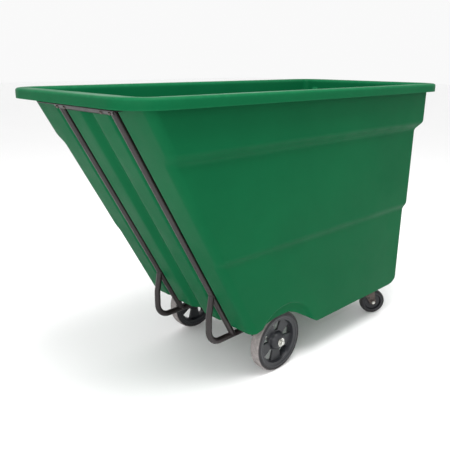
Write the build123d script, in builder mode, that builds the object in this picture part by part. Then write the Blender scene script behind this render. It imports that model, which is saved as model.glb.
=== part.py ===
"""Tilt truck: a one-piece moulded tub with a sloped dump chute on a welded tube frame, two main
wheels on a through axle and two swivel casters at the back.

Millimetres.  +X is forward (the dump end), +Y is the left side, +Z is up and the floor is Z = 0.
"""
import os
from math import atan, cos, degrees, hypot, radians, sin, tan

from build123d import *

os.makedirs("parts", exist_ok=True)

# ---------------------------------------------------------------- driving dimensions
# overall
rim_length = 1760.0
rim_width = 840.0
rim_top = 1170.0

# tub
wall = 6.0
rim_face = 36.0
rim_corner = 130.0
rim_round = 10.0
slope_deg = 28.5            # dump chute, measured from the vertical
rim_over_side = 45.0        # rim beyond the body, at the sides, the rear and over the chute
rim_over_rear = 65.0
rim_over_front = 80.288
body_corner = 35.0
draft = 0.0085              # wall lean per millimetre of height
band_1_drop, band_1_fall, band_1_step = 180.0, 33.0, 27.0     # below the rim, height, depth
band_2_drop, band_2_fall, band_2_step = 582.0, 23.0, 11.5
floor_over_rail = 6.0       # floor of the tub below the rail axis
rear_heel_r = 85.0
wheel_headroom = 9.0       # notch roof above the tyre
toe_lift = 72.0             # chute toe above the floor
arch_gap = 52.0             # arch beyond the tyre
arch_depth = 12.0
flute_depth = 11.0
flute_half = 20.0
flute_edge = 75.0           # outer flutes in from the body side
gutter_depth = 19.0
gutter_half = 41.0

# frame
tube_d = 25.4
tube_wall = 2.0
tube_in = 205.0             # tube axis in from the body side
tube_sink = 7.0             # slope tube axis below the chute plane
rail_over_wheel = 44.0      # rail axis above the wheel's, or above the caster it has to clear
rail_end_in = 125.0         # rail end in from the rear wall
loop_rise = 212.0           # loop joins the slope tube this far above the rail
loop_out = 16.4             # loop upright ahead of the join
loop_lean = 92.0            # height over which it leans out
loop_bend_r = 58.0
seat_gap = 0.4              # tub channel to tube
bar_t = 4.0
bar_beyond_tube = 80.0
bar_leg_beyond = 20.0
bar_bolt_gap = 15.9         # inner bolts in from the tube channels
bar_lip_in = 46.0           # lip edge in from the rim's front
bar_gap = 8.0
bar_drop = 20.0
bar_bolt_rise = 9.0         # bolt centres above the bar's foot
bar_head_r = 6.5
plate_t = 5.0
mid_plate_w, mid_plate_beyond, mid_plate_back = 60.0, 35.0, 58.0
rear_plate_w, rear_plate_in = 112.0, 75.0
cross_tube_back = 85.0      # behind the axle

# main wheels
wheel_d = 260.0
tread_w = 48.0
wheel_back = 69.0           # axle behind the foot of the chute
wheel_in = 82.0             # tread face in from the body side
tyre_t = 15.0
hub_r = 30.0
hub_out = 8.0               # hub face beyond the tread face
hub_in = 4.0
hub_bore_d = 25.0
axle_d = 19.05
run_clearance = 0.07        # radial, between a shaft and what turns on it
side_play = 0.35            # end float, between faces that slide
washer_t = 3.0
axle_beyond = 22.0          # axle end beyond the tread face
cotter_in = 6.0             # pin hole in from the axle end
cotter_d = 4.0
hanger_w, hanger_half_y, hanger_t, hanger_below = 62.0, 15.0, 5.0, 19.7

# casters
caster_fore = 185.0         # king pin ahead of the rear wall
caster_in = 143.0           # king pin in from the body side
caster_lead = 35.0
caster_turn_deg = -38.0     # how the left caster stands swivelled; the right one mirrors it
caster_d = 127.0
caster_tread_w = 32.0
caster_tyre_t = 13.0
caster_plate_x, caster_plate_y, caster_plate_t = 100.0, 85.0, 4.0
caster_hole_x, caster_hole_y = 38.0, 30.0
fork_t = 3.0
fork_inner = 20.0
crown_r = 35.0
crown_drop = 24.3           # fork crown below the caster's top face
crown_t = 4.0
ball_r = 3.1
ball_ring_r = 26.0
ball_count = 18
king_d = 12.0
king_head_r = 10.0
caster_axle_d = 10.0
sleeve_d = 14.0
bolt_d = 8.0

# ---------------------------------------------------------------- values that follow
slope = radians(slope_deg)
rise = tan(slope)
tube_r = tube_d / 2
wheel_r = wheel_d / 2
caster_r = caster_d / 2
rim_foot = rim_top - rim_face
far_x = rim_length / 2 + 20              # beyond the rim, for cutting shapes
far_z = rim_top + 130
# heights, from the wheels up
rail_z = max(wheel_r, caster_d) + rail_over_wheel
plate_top_z = rail_z - tube_r
caster_top_z = plate_top_z - plate_t
crown_z = caster_top_z - crown_drop
floor_z = rail_z - floor_over_rail
toe_z = floor_z + toe_lift
loop_join_z = rail_z + loop_rise
# heights, from the rim down
band_1_top, band_1_foot = rim_top - band_1_drop, rim_top - band_1_drop - band_1_fall
band_2_top, band_2_foot = rim_top - band_2_drop, rim_top - band_2_drop - band_2_fall
bar_top_z = rim_foot - bar_gap
bar_foot_z = bar_top_z - bar_drop
# lengths
body_rear = rim_length / 2 - rim_over_rear
chute_foot_x = rim_length / 2 - rim_over_front - rise * rim_foot      # where the chute meets Z = 0
tube_x0 = chute_foot_x - tube_sink / cos(slope)
loop_join_x = tube_x0 + rise * loop_join_z
loop_x = loop_join_x + loop_out
tube_foot_x = tube_x0 + rise * rail_z
bar_lip_x = rim_length / 2 - bar_lip_in
wheel_x = chute_foot_x - wheel_back
cross_tube_x = wheel_x - cross_tube_back
caster_x = caster_fore - body_rear
rail_end_x = rail_end_in - body_rear
# axle notch: back foot, back top, roof
notch_roof_z = 2 * wheel_r + wheel_headroom
notch_back_top_z = notch_roof_z - 18
notch_roof_x1, notch_roof_x2 = wheel_x - 27, wheel_x + 57
notch_back_top_x = wheel_x - 70
notch_back_x = wheel_x - 207
mid_plate_x = notch_back_x - mid_plate_back
# widths
body_half_width = rim_width / 2 - rim_over_side
tube_y = body_half_width - tube_in
flute_edge_y = body_half_width - flute_edge
rear_flute_ys = (-flute_edge_y, -tube_y, 0.0, tube_y, flute_edge_y)
bar_half = tube_y + bar_beyond_tube
bar_leg_half = tube_y + bar_leg_beyond
mid_plate_half = tube_y + mid_plate_beyond
rear_plate_half = body_half_width - rear_plate_in
wheel_outer_y = body_half_width - wheel_in
wheel_half = tread_w / 2
tread_y = wheel_outer_y - wheel_half
axle_end_y = wheel_outer_y + axle_beyond
cotter_y = axle_end_y - cotter_in
caster_y = body_half_width - caster_in
arch_r = wheel_r + arch_gap
hanger_drop = plate_top_z - wheel_r + hanger_below


def lean(z):
    """How far the side and rear walls have moved in at height z."""
    inset = draft * (rim_top - z)
    for top, foot, step in ((band_1_top, band_1_foot, band_1_step),
                            (band_2_top, band_2_foot, band_2_step)):
        inset += step * min(max((top - z) / (top - foot), 0.0), 1.0)
    return inset


def section(z, skin):
    """Plan of the tub at height z, moved in by a skin thickness: centre x, length, width."""
    front = chute_foot_x + rise * z - skin / cos(slope)
    rear = -(body_rear - lean(z)) + skin
    return (front + rear) / 2, front - rear, 2 * (body_half_width - lean(z) - skin)


chute_along = Vector(sin(slope), 0, cos(slope))
chute_out = Vector(cos(slope), 0, -sin(slope))
chute_foot = Vector(chute_foot_x, 0, 0)
chute_end = Plane(origin=chute_foot, x_dir=(0, 1, 0), z_dir=chute_along)      # local +Y is inward
chute_face = Plane(origin=chute_foot, x_dir=(0, 1, 0), z_dir=chute_out)       # local +Y is up-slope
levels = (floor_z - 28, band_2_foot, band_2_top, band_1_foot, band_1_top)
groove_floor = tube_sink + tube_r + seat_gap
groove_half = tube_r + 1.3
bar_bolt_y = tube_y - groove_half - groove_floor - bar_bolt_gap
corner_gain = wall * tan(radians(22.5))
heel_x = lean(floor_z + 82) - body_rear         # rear wall where it turns under

# ---------------------------------------------------------------- tub
with BuildPart() as tub_hollow:
    for z in levels + (rim_top + 30.0,):
        mid_x, long, wide = section(z, wall)
        with BuildSketch(Plane.XY.offset(z)):
            with Locations((mid_x, 0)):
                RectangleRounded(long, wide, body_corner - wall)
    loft(ruled=True)
    # floor, axle notch and heel, one wall thickness inside the outer skin
    with BuildSketch(Plane.XZ):
        with BuildLine():
            Polyline((-far_x, far_z), (-far_x, floor_z + rear_heel_r),
                     (heel_x + wall, floor_z + rear_heel_r))
            heel = ThreePointArc(
                (heel_x + wall, floor_z + rear_heel_r),
                (heel_x + rear_heel_r - (rear_heel_r - wall) * cos(radians(45)),
                 floor_z + rear_heel_r - (rear_heel_r - wall) * sin(radians(45))),
                (heel_x + rear_heel_r, floor_z + wall))
            Polyline(heel @ 1, (notch_back_x - 1.7, floor_z + wall),
                     (notch_back_top_x - 2.4, notch_back_top_z + wall),
                     (notch_roof_x1 - 1.2, notch_roof_z + wall),
                     (notch_roof_x2 + 0.7, notch_roof_z + wall),
                     (chute_foot_x + rise * toe_z - 12, toe_z + wall), (far_x, toe_z + wall),
                     (far_x, far_z), (-far_x, far_z))
        make_face()
    extrude(amount=rim_width, both=True, mode=Mode.INTERSECT)
    # ribs that stand inside opposite the outside channels
    with BuildSketch(chute_end.offset(120)):
        with Locations((-tube_y, 0), (tube_y, 0)):
            Polygon((-groove_half - corner_gain, groove_floor + wall),
                    (groove_half + corner_gain, groove_floor + wall),
                    (groove_half + corner_gain + groove_floor + wall + 2, -2),
                    (-groove_half - corner_gain - groove_floor - wall - 2, -2), align=None)
        Polygon((-4, gutter_depth + wall), (4, gutter_depth + wall),
                (gutter_half + 3, wall), (gutter_half + 3, -2), (-gutter_half - 3, -2),
                (-gutter_half - 3, wall), align=None)
    extrude(amount=(rim_foot + 16) / cos(slope) - 120, mode=Mode.SUBTRACT)
    with BuildSketch(Plane.YZ.offset(-far_x)):
        with Locations((-tube_y, 0), (tube_y, 0)):
            Polygon((-groove_half - corner_gain, rail_z + groove_floor - tube_sink + wall),
                    (groove_half + corner_gain, rail_z + groove_floor - tube_sink + wall),
                    (groove_half + corner_gain + 44, rail_z + groove_floor - tube_sink + wall - 44),
                    (-groove_half - corner_gain - 44, rail_z + groove_floor - tube_sink + wall - 44),
                    align=None)
    extrude(amount=far_x + notch_back_x + 92, mode=Mode.SUBTRACT)
    with BuildSketch(Plane.XY.offset(band_1_top + 4)):
        for y in rear_flute_ys:
            with Locations((-body_rear, y)):
                Polygon((-40, -flute_half - corner_gain), (-40, flute_half + corner_gain),
                        (0, flute_half + corner_gain), (flute_depth + wall, flute_half / 2),
                        (flute_depth + wall, -flute_half / 2), (0, -flute_half - corner_gain),
                        align=None)
    extrude(amount=rim_foot + 4 - band_1_top, mode=Mode.SUBTRACT)
    for side in (-1, 1):
        with BuildSketch(Plane.XZ.offset(-side * (body_half_width - lean(floor_z) - arch_depth - wall
                                                  + 30))):
            with Locations((wheel_x, wheel_r)):
                Circle(arch_r + wall)
        extrude(amount=30, both=True, mode=Mode.SUBTRACT)

with BuildPart() as tub:
    for z in levels + (rim_top - 1.0,):
        mid_x, long, wide = section(z, 0)
        with BuildSketch(Plane.XY.offset(z)):
            with Locations((mid_x, 0)):
                RectangleRounded(long, wide, body_corner)
    loft(ruled=True)
    with BuildSketch(Plane.XZ):
        with BuildLine():
            Polyline((-far_x, far_z), (-far_x, floor_z + rear_heel_r),
                     (heel_x, floor_z + rear_heel_r))
            heel = ThreePointArc(
                (heel_x, floor_z + rear_heel_r),
                (heel_x + rear_heel_r * (1 - cos(radians(45))),
                 floor_z + rear_heel_r * (1 - sin(radians(45)))),
                (heel_x + rear_heel_r, floor_z))
            Polyline(heel @ 1, (notch_back_x, floor_z), (notch_back_top_x, notch_back_top_z),
                     (notch_roof_x1, notch_roof_z), (notch_roof_x2, notch_roof_z),
                     (chute_foot_x + rise * toe_z - 12, toe_z), (far_x, toe_z), (far_x, far_z),
                     (-far_x, far_z))
        make_face()
    extrude(amount=rim_width, both=True, mode=Mode.INTERSECT)
    # channels for the slope tubes and the gutter between them
    with BuildSketch(chute_end.offset(120)):
        with Locations((-tube_y, 0), (tube_y, 0)):
            Polygon((-groove_half, groove_floor), (groove_half, groove_floor),
                    (groove_half + groove_floor + 2, -2), (-groove_half - groove_floor - 2, -2),
                    align=None)
        Polygon((-4, gutter_depth), (4, gutter_depth), (gutter_half, 0), (gutter_half, -2),
                (-gutter_half, -2), (-gutter_half, 0), align=None)
    extrude(amount=(rim_foot + 8) / cos(slope) - 120, mode=Mode.SUBTRACT)
    # channels for the bottom rails
    with BuildSketch(Plane.YZ.offset(-far_x)):
        with Locations((-tube_y, 0), (tube_y, 0)):
            Polygon((-groove_half, rail_z + groove_floor - tube_sink),
                    (groove_half, rail_z + groove_floor - tube_sink),
                    (groove_half + 44, rail_z + groove_floor - tube_sink - 44),
                    (-groove_half - 44, rail_z + groove_floor - tube_sink - 44), align=None)
    extrude(amount=far_x + notch_back_x + 92, mode=Mode.SUBTRACT)
    # upright flutes across the rear wall
    with BuildSketch(Plane.XY.offset(band_1_top + 10)):
        for y in rear_flute_ys:
            with Locations((-body_rear, y)):
                Polygon((-40, -flute_half), (-40, flute_half), (0, flute_half),
                        (flute_depth, flute_half / 2), (flute_depth, -flute_half / 2),
                        (0, -flute_half), align=None)
    extrude(amount=rim_foot - 8 - band_1_top, mode=Mode.SUBTRACT)
    # shallow arch over each wheel
    for side in (-1, 1):
        with BuildSketch(Plane.XZ.offset(-side * (body_half_width - lean(floor_z) - arch_depth + 30))):
            with Locations((wheel_x, wheel_r)):
                Circle(arch_r)
        extrude(amount=30, both=True, mode=Mode.SUBTRACT)
    body_block = tub.part
    # rim: top deck and turned-down skirt
    with BuildPart(mode=Mode.PRIVATE) as skirt_space:
        with BuildSketch(Plane.XY.offset(rim_foot - 1)):
            RectangleRounded(rim_length - 2 * wall, rim_width - 2 * wall, rim_corner - wall)
        extrude(amount=rim_face - wall + 1)
        fillet(skirt_space.edges().group_by(Axis.Z)[-1], rim_round - wall)
        add(body_block, mode=Mode.SUBTRACT)
    with BuildPart(mode=Mode.PRIVATE) as rim_block:
        with BuildSketch(Plane.XY.offset(rim_foot)):
            RectangleRounded(rim_length, rim_width, rim_corner)
        extrude(amount=rim_face)
        fillet(rim_block.edges().group_by(Axis.Z)[-1], rim_round)
        add(skirt_space.part, mode=Mode.SUBTRACT)
    add(rim_block.part)
    add(tub_hollow.part, mode=Mode.SUBTRACT)
    # clearance holes for the bar bolts and the floor bolts
    bolt_hole = bolt_d + 0.6
    bar_bolt_up = (bar_foot_z + bar_bolt_rise) / cos(slope)
    floor_bolt_xs = (mid_plate_x, caster_x)
    with BuildSketch(chute_face.offset(20)):
        with Locations(*[(y, bar_bolt_up) for y in (-tube_y, -bar_bolt_y, bar_bolt_y, tube_y)]):
            Circle(bolt_hole / 2)
    extrude(amount=-70, mode=Mode.SUBTRACT)
    with BuildSketch(Plane.XY.offset(150)):
        with Locations(*[(x, y) for x in floor_bolt_xs for y in (-tube_y, tube_y)]):
            Circle(bolt_hole / 2)
    extrude(amount=80, mode=Mode.SUBTRACT)
tub.part.label = "tub"
export_step(tub.part, "parts/tub.step")

# ---------------------------------------------------------------- frame: bottom rails with tipping loops
with BuildPart() as rail_left:
    with BuildLine(Plane.XZ) as rail_path:
        course = FilletPolyline((loop_join_x, loop_join_z), (loop_x, loop_join_z - loop_lean),
                                (loop_x, rail_z), (rail_end_x, rail_z), radius=loop_bend_r)
    with BuildSketch(Plane(origin=(loop_join_x, 0, loop_join_z),
                           z_dir=Vector(loop_out, 0, -loop_lean))):
        Circle(tube_r)
        Circle(tube_r - tube_wall, mode=Mode.SUBTRACT)
    sweep(path=rail_path.line)
    with BuildSketch(chute_end.offset((loop_join_z - 90) / cos(slope))):
        with Locations((0, tube_sink)):
            Circle(tube_r)
    extrude(amount=200, mode=Mode.SUBTRACT)
    with BuildSketch(Plane.XY.offset(120)):
        with Locations(*[(x, 0) for x in floor_bolt_xs]):
            Circle(bolt_d / 2 + 0.4)
    extrude(amount=100, mode=Mode.SUBTRACT)
rail_left.part = rail_left.part.moved(Location((0, tube_y, 0)))
rail_left.part.label = "rail_left"
export_step(rail_left.part, "parts/rail_left.step")

with BuildPart() as rail_right:
    mirror(rail_left.part, about=Plane.XZ)
rail_right.part.label = "rail_right"
export_step(rail_right.part, "parts/rail_right.step")

# ---------------------------------------------------------------- frame: slope tubes
tube_top_up = (bar_top_z - bar_t - 3.0) / cos(slope)
with BuildPart() as slope_tube_left:
    with BuildSketch(chute_end.offset(rail_z / cos(slope))):
        with Locations((tube_y, tube_sink)):
            Circle(tube_r)
            Circle(tube_r - tube_wall, mode=Mode.SUBTRACT)
    extrude(amount=tube_top_up - rail_z / cos(slope))
    with BuildSketch(Plane.YZ.offset(rail_end_x)):
        with Locations((tube_y, rail_z)):
            Circle(tube_r)
    extrude(amount=loop_x - loop_bend_r - rail_end_x, mode=Mode.SUBTRACT)
    with BuildSketch(Plane.XY.offset(rail_z - 80)):
        with Locations((tube_foot_x, tube_y)):
            Rectangle(140, 60)
    extrude(amount=80, mode=Mode.SUBTRACT)
    with BuildSketch(chute_face.offset(20)):
        with Locations((tube_y, bar_bolt_up)):
            Circle(bolt_d / 2 + 0.4)
    extrude(amount=-60, mode=Mode.SUBTRACT)
slope_tube_left.part.label = "slope_tube_left"
export_step(slope_tube_left.part, "parts/slope_tube_left.step")

with BuildPart() as slope_tube_right:
    mirror(slope_tube_left.part, about=Plane.XZ)
slope_tube_right.part.label = "slope_tube_right"
export_step(slope_tube_right.part, "parts/slope_tube_right.step")

# ---------------------------------------------------------------- frame: bar under the front rim
bar_back = tube_r - tube_sink                 # height of the bar's back above the chute plane
bar_in = chute_foot_x + bar_back / cos(slope)
bar_out = chute_foot_x + (bar_back + bar_t) / cos(slope)
with BuildPart() as front_bar:
    with BuildSketch(Plane.XZ):
        Polygon((bar_in + rise * bar_foot_z, bar_foot_z), (bar_out + rise * bar_foot_z, bar_foot_z),
                (bar_out + rise * (bar_top_z - bar_t), bar_top_z - bar_t),
                (bar_lip_x, bar_top_z - bar_t), (bar_lip_x, bar_top_z),
                (bar_in + rise * bar_top_z, bar_top_z), align=None)
    extrude(amount=bar_half, both=True)
    for side in (-1, 1):
        with BuildSketch(Plane.XY.offset(bar_foot_z - 5)):
            with Locations((bar_out + rise * bar_foot_z, side * (bar_leg_half + 50))):
                Rectangle(80, 100)
        extrude(amount=bar_top_z - bar_t - bar_foot_z + 5, mode=Mode.SUBTRACT)
    with BuildSketch(chute_face.offset(20)):
        with Locations(*[(y, bar_bolt_up) for y in (-tube_y, -bar_bolt_y, bar_bolt_y, tube_y)]):
            Circle(bolt_d / 2 + 0.4)
    extrude(amount=-30, mode=Mode.SUBTRACT)
front_bar.part.label = "front_bar"
export_step(front_bar.part, "parts/front_bar.step")

# ---------------------------------------------------------------- frame: cross plates and cross tube
caster_holes = [(caster_x + sx * caster_hole_x, sy * caster_y + dy * caster_hole_y)
                for sy in (-1, 1) for sx in (-1, 1) for dy in (-1, 1)]
with BuildPart() as rear_plate:
    with BuildSketch(Plane.XY.offset(caster_top_z)):
        with Locations((caster_x, 0)):
            RectangleRounded(rear_plate_w, 2 * rear_plate_half, 8)
        with Locations(*caster_holes, (caster_x, tube_y), (caster_x, -tube_y)):
            Circle(bolt_d / 2 + 0.4, mode=Mode.SUBTRACT)
    extrude(amount=plate_t)
rear_plate.part.label = "rear_plate"
export_step(rear_plate.part, "parts/rear_plate.step")

with BuildPart() as middle_plate:
    with BuildSketch(Plane.XY.offset(caster_top_z)):
        with Locations((mid_plate_x, 0)):
            RectangleRounded(mid_plate_w, 2 * mid_plate_half, 6)
        with Locations((mid_plate_x, tube_y), (mid_plate_x, -tube_y)):
            Circle(bolt_d / 2 + 0.4, mode=Mode.SUBTRACT)
    extrude(amount=plate_t)
middle_plate.part.label = "middle_plate"
export_step(middle_plate.part, "parts/middle_plate.step")

with BuildPart() as cross_tube:
    with BuildSketch(Plane.XZ.offset(-tube_y)):
        with Locations((cross_tube_x, rail_z)):
            Circle(tube_r)
            Circle(tube_r - tube_wall, mode=Mode.SUBTRACT)
    extrude(amount=2 * tube_y)
    with BuildSketch(Plane.YZ.offset(cross_tube_x - 40)):
        with Locations((tube_y, rail_z), (-tube_y, rail_z)):
            Circle(tube_r)
    extrude(amount=80, mode=Mode.SUBTRACT)
    with BuildSketch(Plane.XZ.offset(-tube_y - 20)):
        with Locations((cross_tube_x, rail_z)):
            Rectangle(60, 60)
    extrude(amount=20, mode=Mode.SUBTRACT)
cross_tube.part = cross_tube.part.solids().sort_by(SortBy.VOLUME)[-1]
cross_tube.part.label = "cross_tube"
export_step(cross_tube.part, "parts/cross_tube.step")

with BuildPart() as rail_caps:
    with BuildSketch(Plane.YZ.offset(rail_end_x)):
        with Locations((tube_y, rail_z), (-tube_y, rail_z)):
            Circle(tube_r)
    extrude(amount=-3)
    with BuildSketch(Plane.YZ.offset(rail_end_x)):
        with Locations((tube_y, rail_z), (-tube_y, rail_z)):
            Circle(tube_r - tube_wall)
    extrude(amount=14)
rail_caps.part.label = "rail_caps"
export_step(rail_caps.part, "parts/rail_caps.step")

# ---------------------------------------------------------------- axle, hangers and what sits on it
with BuildPart() as hanger_left:
    with BuildSketch(Plane.YZ.offset(wheel_x)):
        with Locations((tube_y, plate_top_z - hanger_drop / 2)):
            Rectangle(2 * hanger_half_y, hanger_drop)
        with Locations((tube_y, plate_top_z - hanger_drop / 2 - hanger_t)):
            Rectangle(2 * hanger_half_y - 2 * hanger_t, hanger_drop, mode=Mode.SUBTRACT)
    extrude(amount=hanger_w / 2, both=True)
    fillet(hanger_left.edges().filter_by(Axis.Y).group_by(Axis.Z)[0], 12)
    with BuildSketch(Plane.XZ.offset(-tube_y - 30)):
        with Locations((wheel_x, wheel_r)):
            Circle(axle_d / 2)
    extrude(amount=60, mode=Mode.SUBTRACT)
hanger_left.part.label = "hanger_left"
export_step(hanger_left.part, "parts/hanger_left.step")

with BuildPart() as hanger_right:
    mirror(hanger_left.part, about=Plane.XZ)
hanger_right.part.label = "hanger_right"
export_step(hanger_right.part, "parts/hanger_right.step")

with BuildPart() as axle:
    with BuildSketch(Plane.XZ):
        with Locations((wheel_x, wheel_r)):
            Circle(axle_d / 2)
    extrude(amount=axle_end_y, both=True)
    chamfer(axle.edges(), 1.5)
    with BuildSketch(Plane.XY.offset(wheel_r - 15)):
        with Locations((wheel_x, cotter_y), (wheel_x, -cotter_y)):
            Circle(cotter_d / 2)
    extrude(amount=30, mode=Mode.SUBTRACT)
axle.part.label = "axle"
export_step(axle.part, "parts/axle.step")

hub_face_y = wheel_outer_y + hub_out
hub_back_y = wheel_outer_y - tread_w - hub_in
inner_washer_y = hub_back_y - side_play - washer_t
outer_washer_y = hub_face_y + side_play
washer_spots = [side * y for side in (-1, 1)
                for y in (inner_washer_y + washer_t / 2, outer_washer_y + washer_t / 2)]
with BuildPart() as axle_washers:
    for y in washer_spots:
        with BuildSketch(Plane.XZ.offset(-y)):
            with Locations((wheel_x, wheel_r)):
                Circle(19)
                Circle(axle_d / 2, mode=Mode.SUBTRACT)
        extrude(amount=washer_t / 2, both=True)
axle_washers.part.label = "axle_washers"
export_step(axle_washers.part, "parts/axle_washers.step")

spacer_start = tube_y + hanger_half_y
with BuildPart() as axle_spacers:
    for side in (-1, 1):
        with BuildSketch(Plane.XZ.offset(-side * (spacer_start + inner_washer_y) / 2)):
            with Locations((wheel_x, wheel_r)):
                Circle(14)
                Circle(axle_d / 2, mode=Mode.SUBTRACT)
        extrude(amount=(inner_washer_y - spacer_start) / 2, both=True)
axle_spacers.part.label = "axle_spacers"
export_step(axle_spacers.part, "parts/axle_spacers.step")

with BuildPart() as cotter_pins:
    for side in (-1, 1):
        with BuildSketch(Plane.XY.offset(wheel_r - 13)):
            with Locations((wheel_x, side * cotter_y)):
                Circle(cotter_d / 2)
        extrude(amount=27)
        with Locations((wheel_x, side * cotter_y, wheel_r + 17)):
            Torus(4.4, 1.5, rotation=(90, 0, 0))
cotter_pins.part.label = "cotter_pins"
export_step(cotter_pins.part, "parts/cotter_pins.step")

# ---------------------------------------------------------------- main wheels
rim_ring_r = wheel_r - tyre_t
window_in, window_out = hub_r + 16, rim_ring_r - 28
with BuildPart() as wheel_left:
    # section through the moulded wheel: bead, flange, dished web and hub, turned about the axle
    with BuildSketch(Plane.YZ.offset(wheel_x)):
        with Locations((tread_y, wheel_r)):
            Polygon((-wheel_half, rim_ring_r), (wheel_half, rim_ring_r), (wheel_half, rim_ring_r - 6), (wheel_half - 3, rim_ring_r - 9),
                    (wheel_half - 4, rim_ring_r - 20), (6, rim_ring_r - 25), (5, hub_r + 12), (wheel_half - 5, hub_r + 6),
                    (wheel_half + hub_out - 4, hub_r - 2), (wheel_half + hub_out, hub_r - 6),
                    (wheel_half + hub_out, hub_bore_d / 2), (-wheel_half - hub_in, hub_bore_d / 2),
                    (-wheel_half - hub_in, hub_r - 4), (3 - wheel_half, hub_r), (-5, hub_r + 8), (-6, rim_ring_r - 25),
                    (4 - wheel_half, rim_ring_r - 20), (3 - wheel_half, rim_ring_r - 9), (-wheel_half, rim_ring_r - 6), align=None)
    revolve(axis=Axis((wheel_x, 0, wheel_r), (0, 1, 0)))
    with BuildSketch(Plane.XZ.offset(-tread_y - 30)):
        with Locations((wheel_x, wheel_r)):
            with PolarLocations(0, 5, start_angle=18):
                Polygon((window_in, -8), (window_out, -26), (window_out + 4, 0),
                        (window_out, 26), (window_in, 8), align=None)
    extrude(amount=60, mode=Mode.SUBTRACT)
wheel_left.part.label = "wheel_left"
export_step(wheel_left.part, "parts/wheel_left.step")

with BuildPart() as wheel_right:
    mirror(wheel_left.part, about=Plane.XZ)
wheel_right.part.label = "wheel_right"
export_step(wheel_right.part, "parts/wheel_right.step")

with BuildPart() as tyre_left:
    with BuildSketch(Plane.YZ.offset(wheel_x)):
        with Locations((tread_y, wheel_r)):
            Polygon((-wheel_half, rim_ring_r), (wheel_half, rim_ring_r), (wheel_half, wheel_r - 5), (wheel_half - 4, wheel_r),
                    (4 - wheel_half, wheel_r), (-wheel_half, wheel_r - 5), align=None)
    revolve(axis=Axis((wheel_x, 0, wheel_r), (0, 1, 0)))
tyre_left.part.label = "tyre_left"
export_step(tyre_left.part, "parts/tyre_left.step")

with BuildPart() as tyre_right:
    mirror(tyre_left.part, about=Plane.XZ)
tyre_right.part.label = "tyre_right"
export_step(tyre_right.part, "parts/tyre_right.step")

with BuildPart() as bushes_left:
    for y, length in ((hub_face_y - 10, 10), (hub_back_y + 10, 10)):
        with BuildSketch(Plane.XZ.offset(-y)):
            with Locations((wheel_x, wheel_r)):
                Circle(hub_bore_d / 2)
                Circle(axle_d / 2 + run_clearance, mode=Mode.SUBTRACT)
        extrude(amount=length, both=True)
bushes_left.part.label = "bushes_left"
export_step(bushes_left.part, "parts/bushes_left.step")

with BuildPart() as bushes_right:
    mirror(bushes_left.part, about=Plane.XZ)
bushes_right.part.label = "bushes_right"
export_step(bushes_right.part, "parts/bushes_right.step")

# ---------------------------------------------------------------- casters
swivel = Location((caster_x, caster_y, 0)) * Location((0, 0, 0), (0, 0, caster_turn_deg)) \
    * Location((-caster_x, -caster_y, 0))
caster_wheel_x = caster_x - caster_lead
top_plate_z = caster_top_z - caster_plate_t
ball_z = crown_z + crown_t + 2.0 + ball_r + 0.05
with BuildPart() as caster_plate_left:
    with BuildSketch(Plane.XY.offset(top_plate_z)):
        with Locations((caster_x, caster_y)):
            RectangleRounded(caster_plate_x, caster_plate_y, 8)
            with GridLocations(2 * caster_hole_x, 2 * caster_hole_y, 2, 2):
                Circle(bolt_d / 2 + 0.4, mode=Mode.SUBTRACT)
            Circle(king_d / 2, mode=Mode.SUBTRACT)
    extrude(amount=caster_plate_t)
    with BuildSketch(Plane.XY.offset(ball_z + ball_r + 0.05)):
        with Locations((caster_x, caster_y)):
            Circle(crown_r - 1)
            Circle(king_d / 2, mode=Mode.SUBTRACT)
    extrude(amount=top_plate_z - ball_z - ball_r - 0.05)
caster_plate_left.part.label = "caster_plate_left"
export_step(caster_plate_left.part, "parts/caster_plate_left.step")

with BuildPart() as king_pin_left:
    with BuildSketch(Plane.XY.offset(crown_z - side_play - 5.5)):
        with Locations((caster_x, caster_y)):
            Circle(king_head_r)
    extrude(amount=5.5)
    with BuildSketch(Plane.XY.offset(crown_z - side_play)):
        with Locations((caster_x, caster_y)):
            Circle(king_d / 2)
    extrude(amount=caster_top_z - crown_z + side_play)
king_pin_left.part.label = "king_pin_left"
export_step(king_pin_left.part, "parts/king_pin_left.step")

with BuildPart() as caster_balls_left:
    with Locations((caster_x, caster_y, ball_z)):
        with PolarLocations(ball_ring_r, ball_count):
            Sphere(ball_r)
caster_balls_left.part.label = "caster_balls_left"
export_step(caster_balls_left.part, "parts/caster_balls_left.step")

with BuildPart() as fork_left:
    with BuildSketch(Plane.XY.offset(crown_z)):
        with Locations((caster_x, caster_y)):
            Circle(crown_r)
            with Locations((-caster_lead / 2, 0)):
                Rectangle(caster_lead, 2 * (fork_inner + fork_t))
            Circle(king_d / 2 + run_clearance, mode=Mode.SUBTRACT)
    extrude(amount=crown_t)
    with BuildSketch(Plane.XY.offset(crown_z + crown_t)):
        with Locations((caster_x, caster_y)):
            Circle(crown_r - 2)
            Circle(king_d / 2 + run_clearance, mode=Mode.SUBTRACT)
    extrude(amount=2)
    for side in (-1, 1):
        with BuildSketch(Plane.XZ.offset(-(caster_y + side * (fork_inner + fork_t / 2)))):
            Polygon((caster_x + 22, crown_z + crown_t), (caster_x + 22, crown_z - 8),
                    (caster_wheel_x + 16, caster_r - 6), (caster_wheel_x, caster_r - 16),
                    (caster_wheel_x - 16, caster_r - 6), (caster_x - 40, crown_z - 14),
                    (caster_x - 40, crown_z + crown_t), align=None)
            with Locations((caster_wheel_x, caster_r)):
                Circle(caster_axle_d / 2, mode=Mode.SUBTRACT)
        extrude(amount=fork_t / 2, both=True)
fork_left.part = fork_left.part.moved(swivel)
fork_left.part.label = "fork_left"
export_step(fork_left.part, "parts/fork_left.step")

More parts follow.
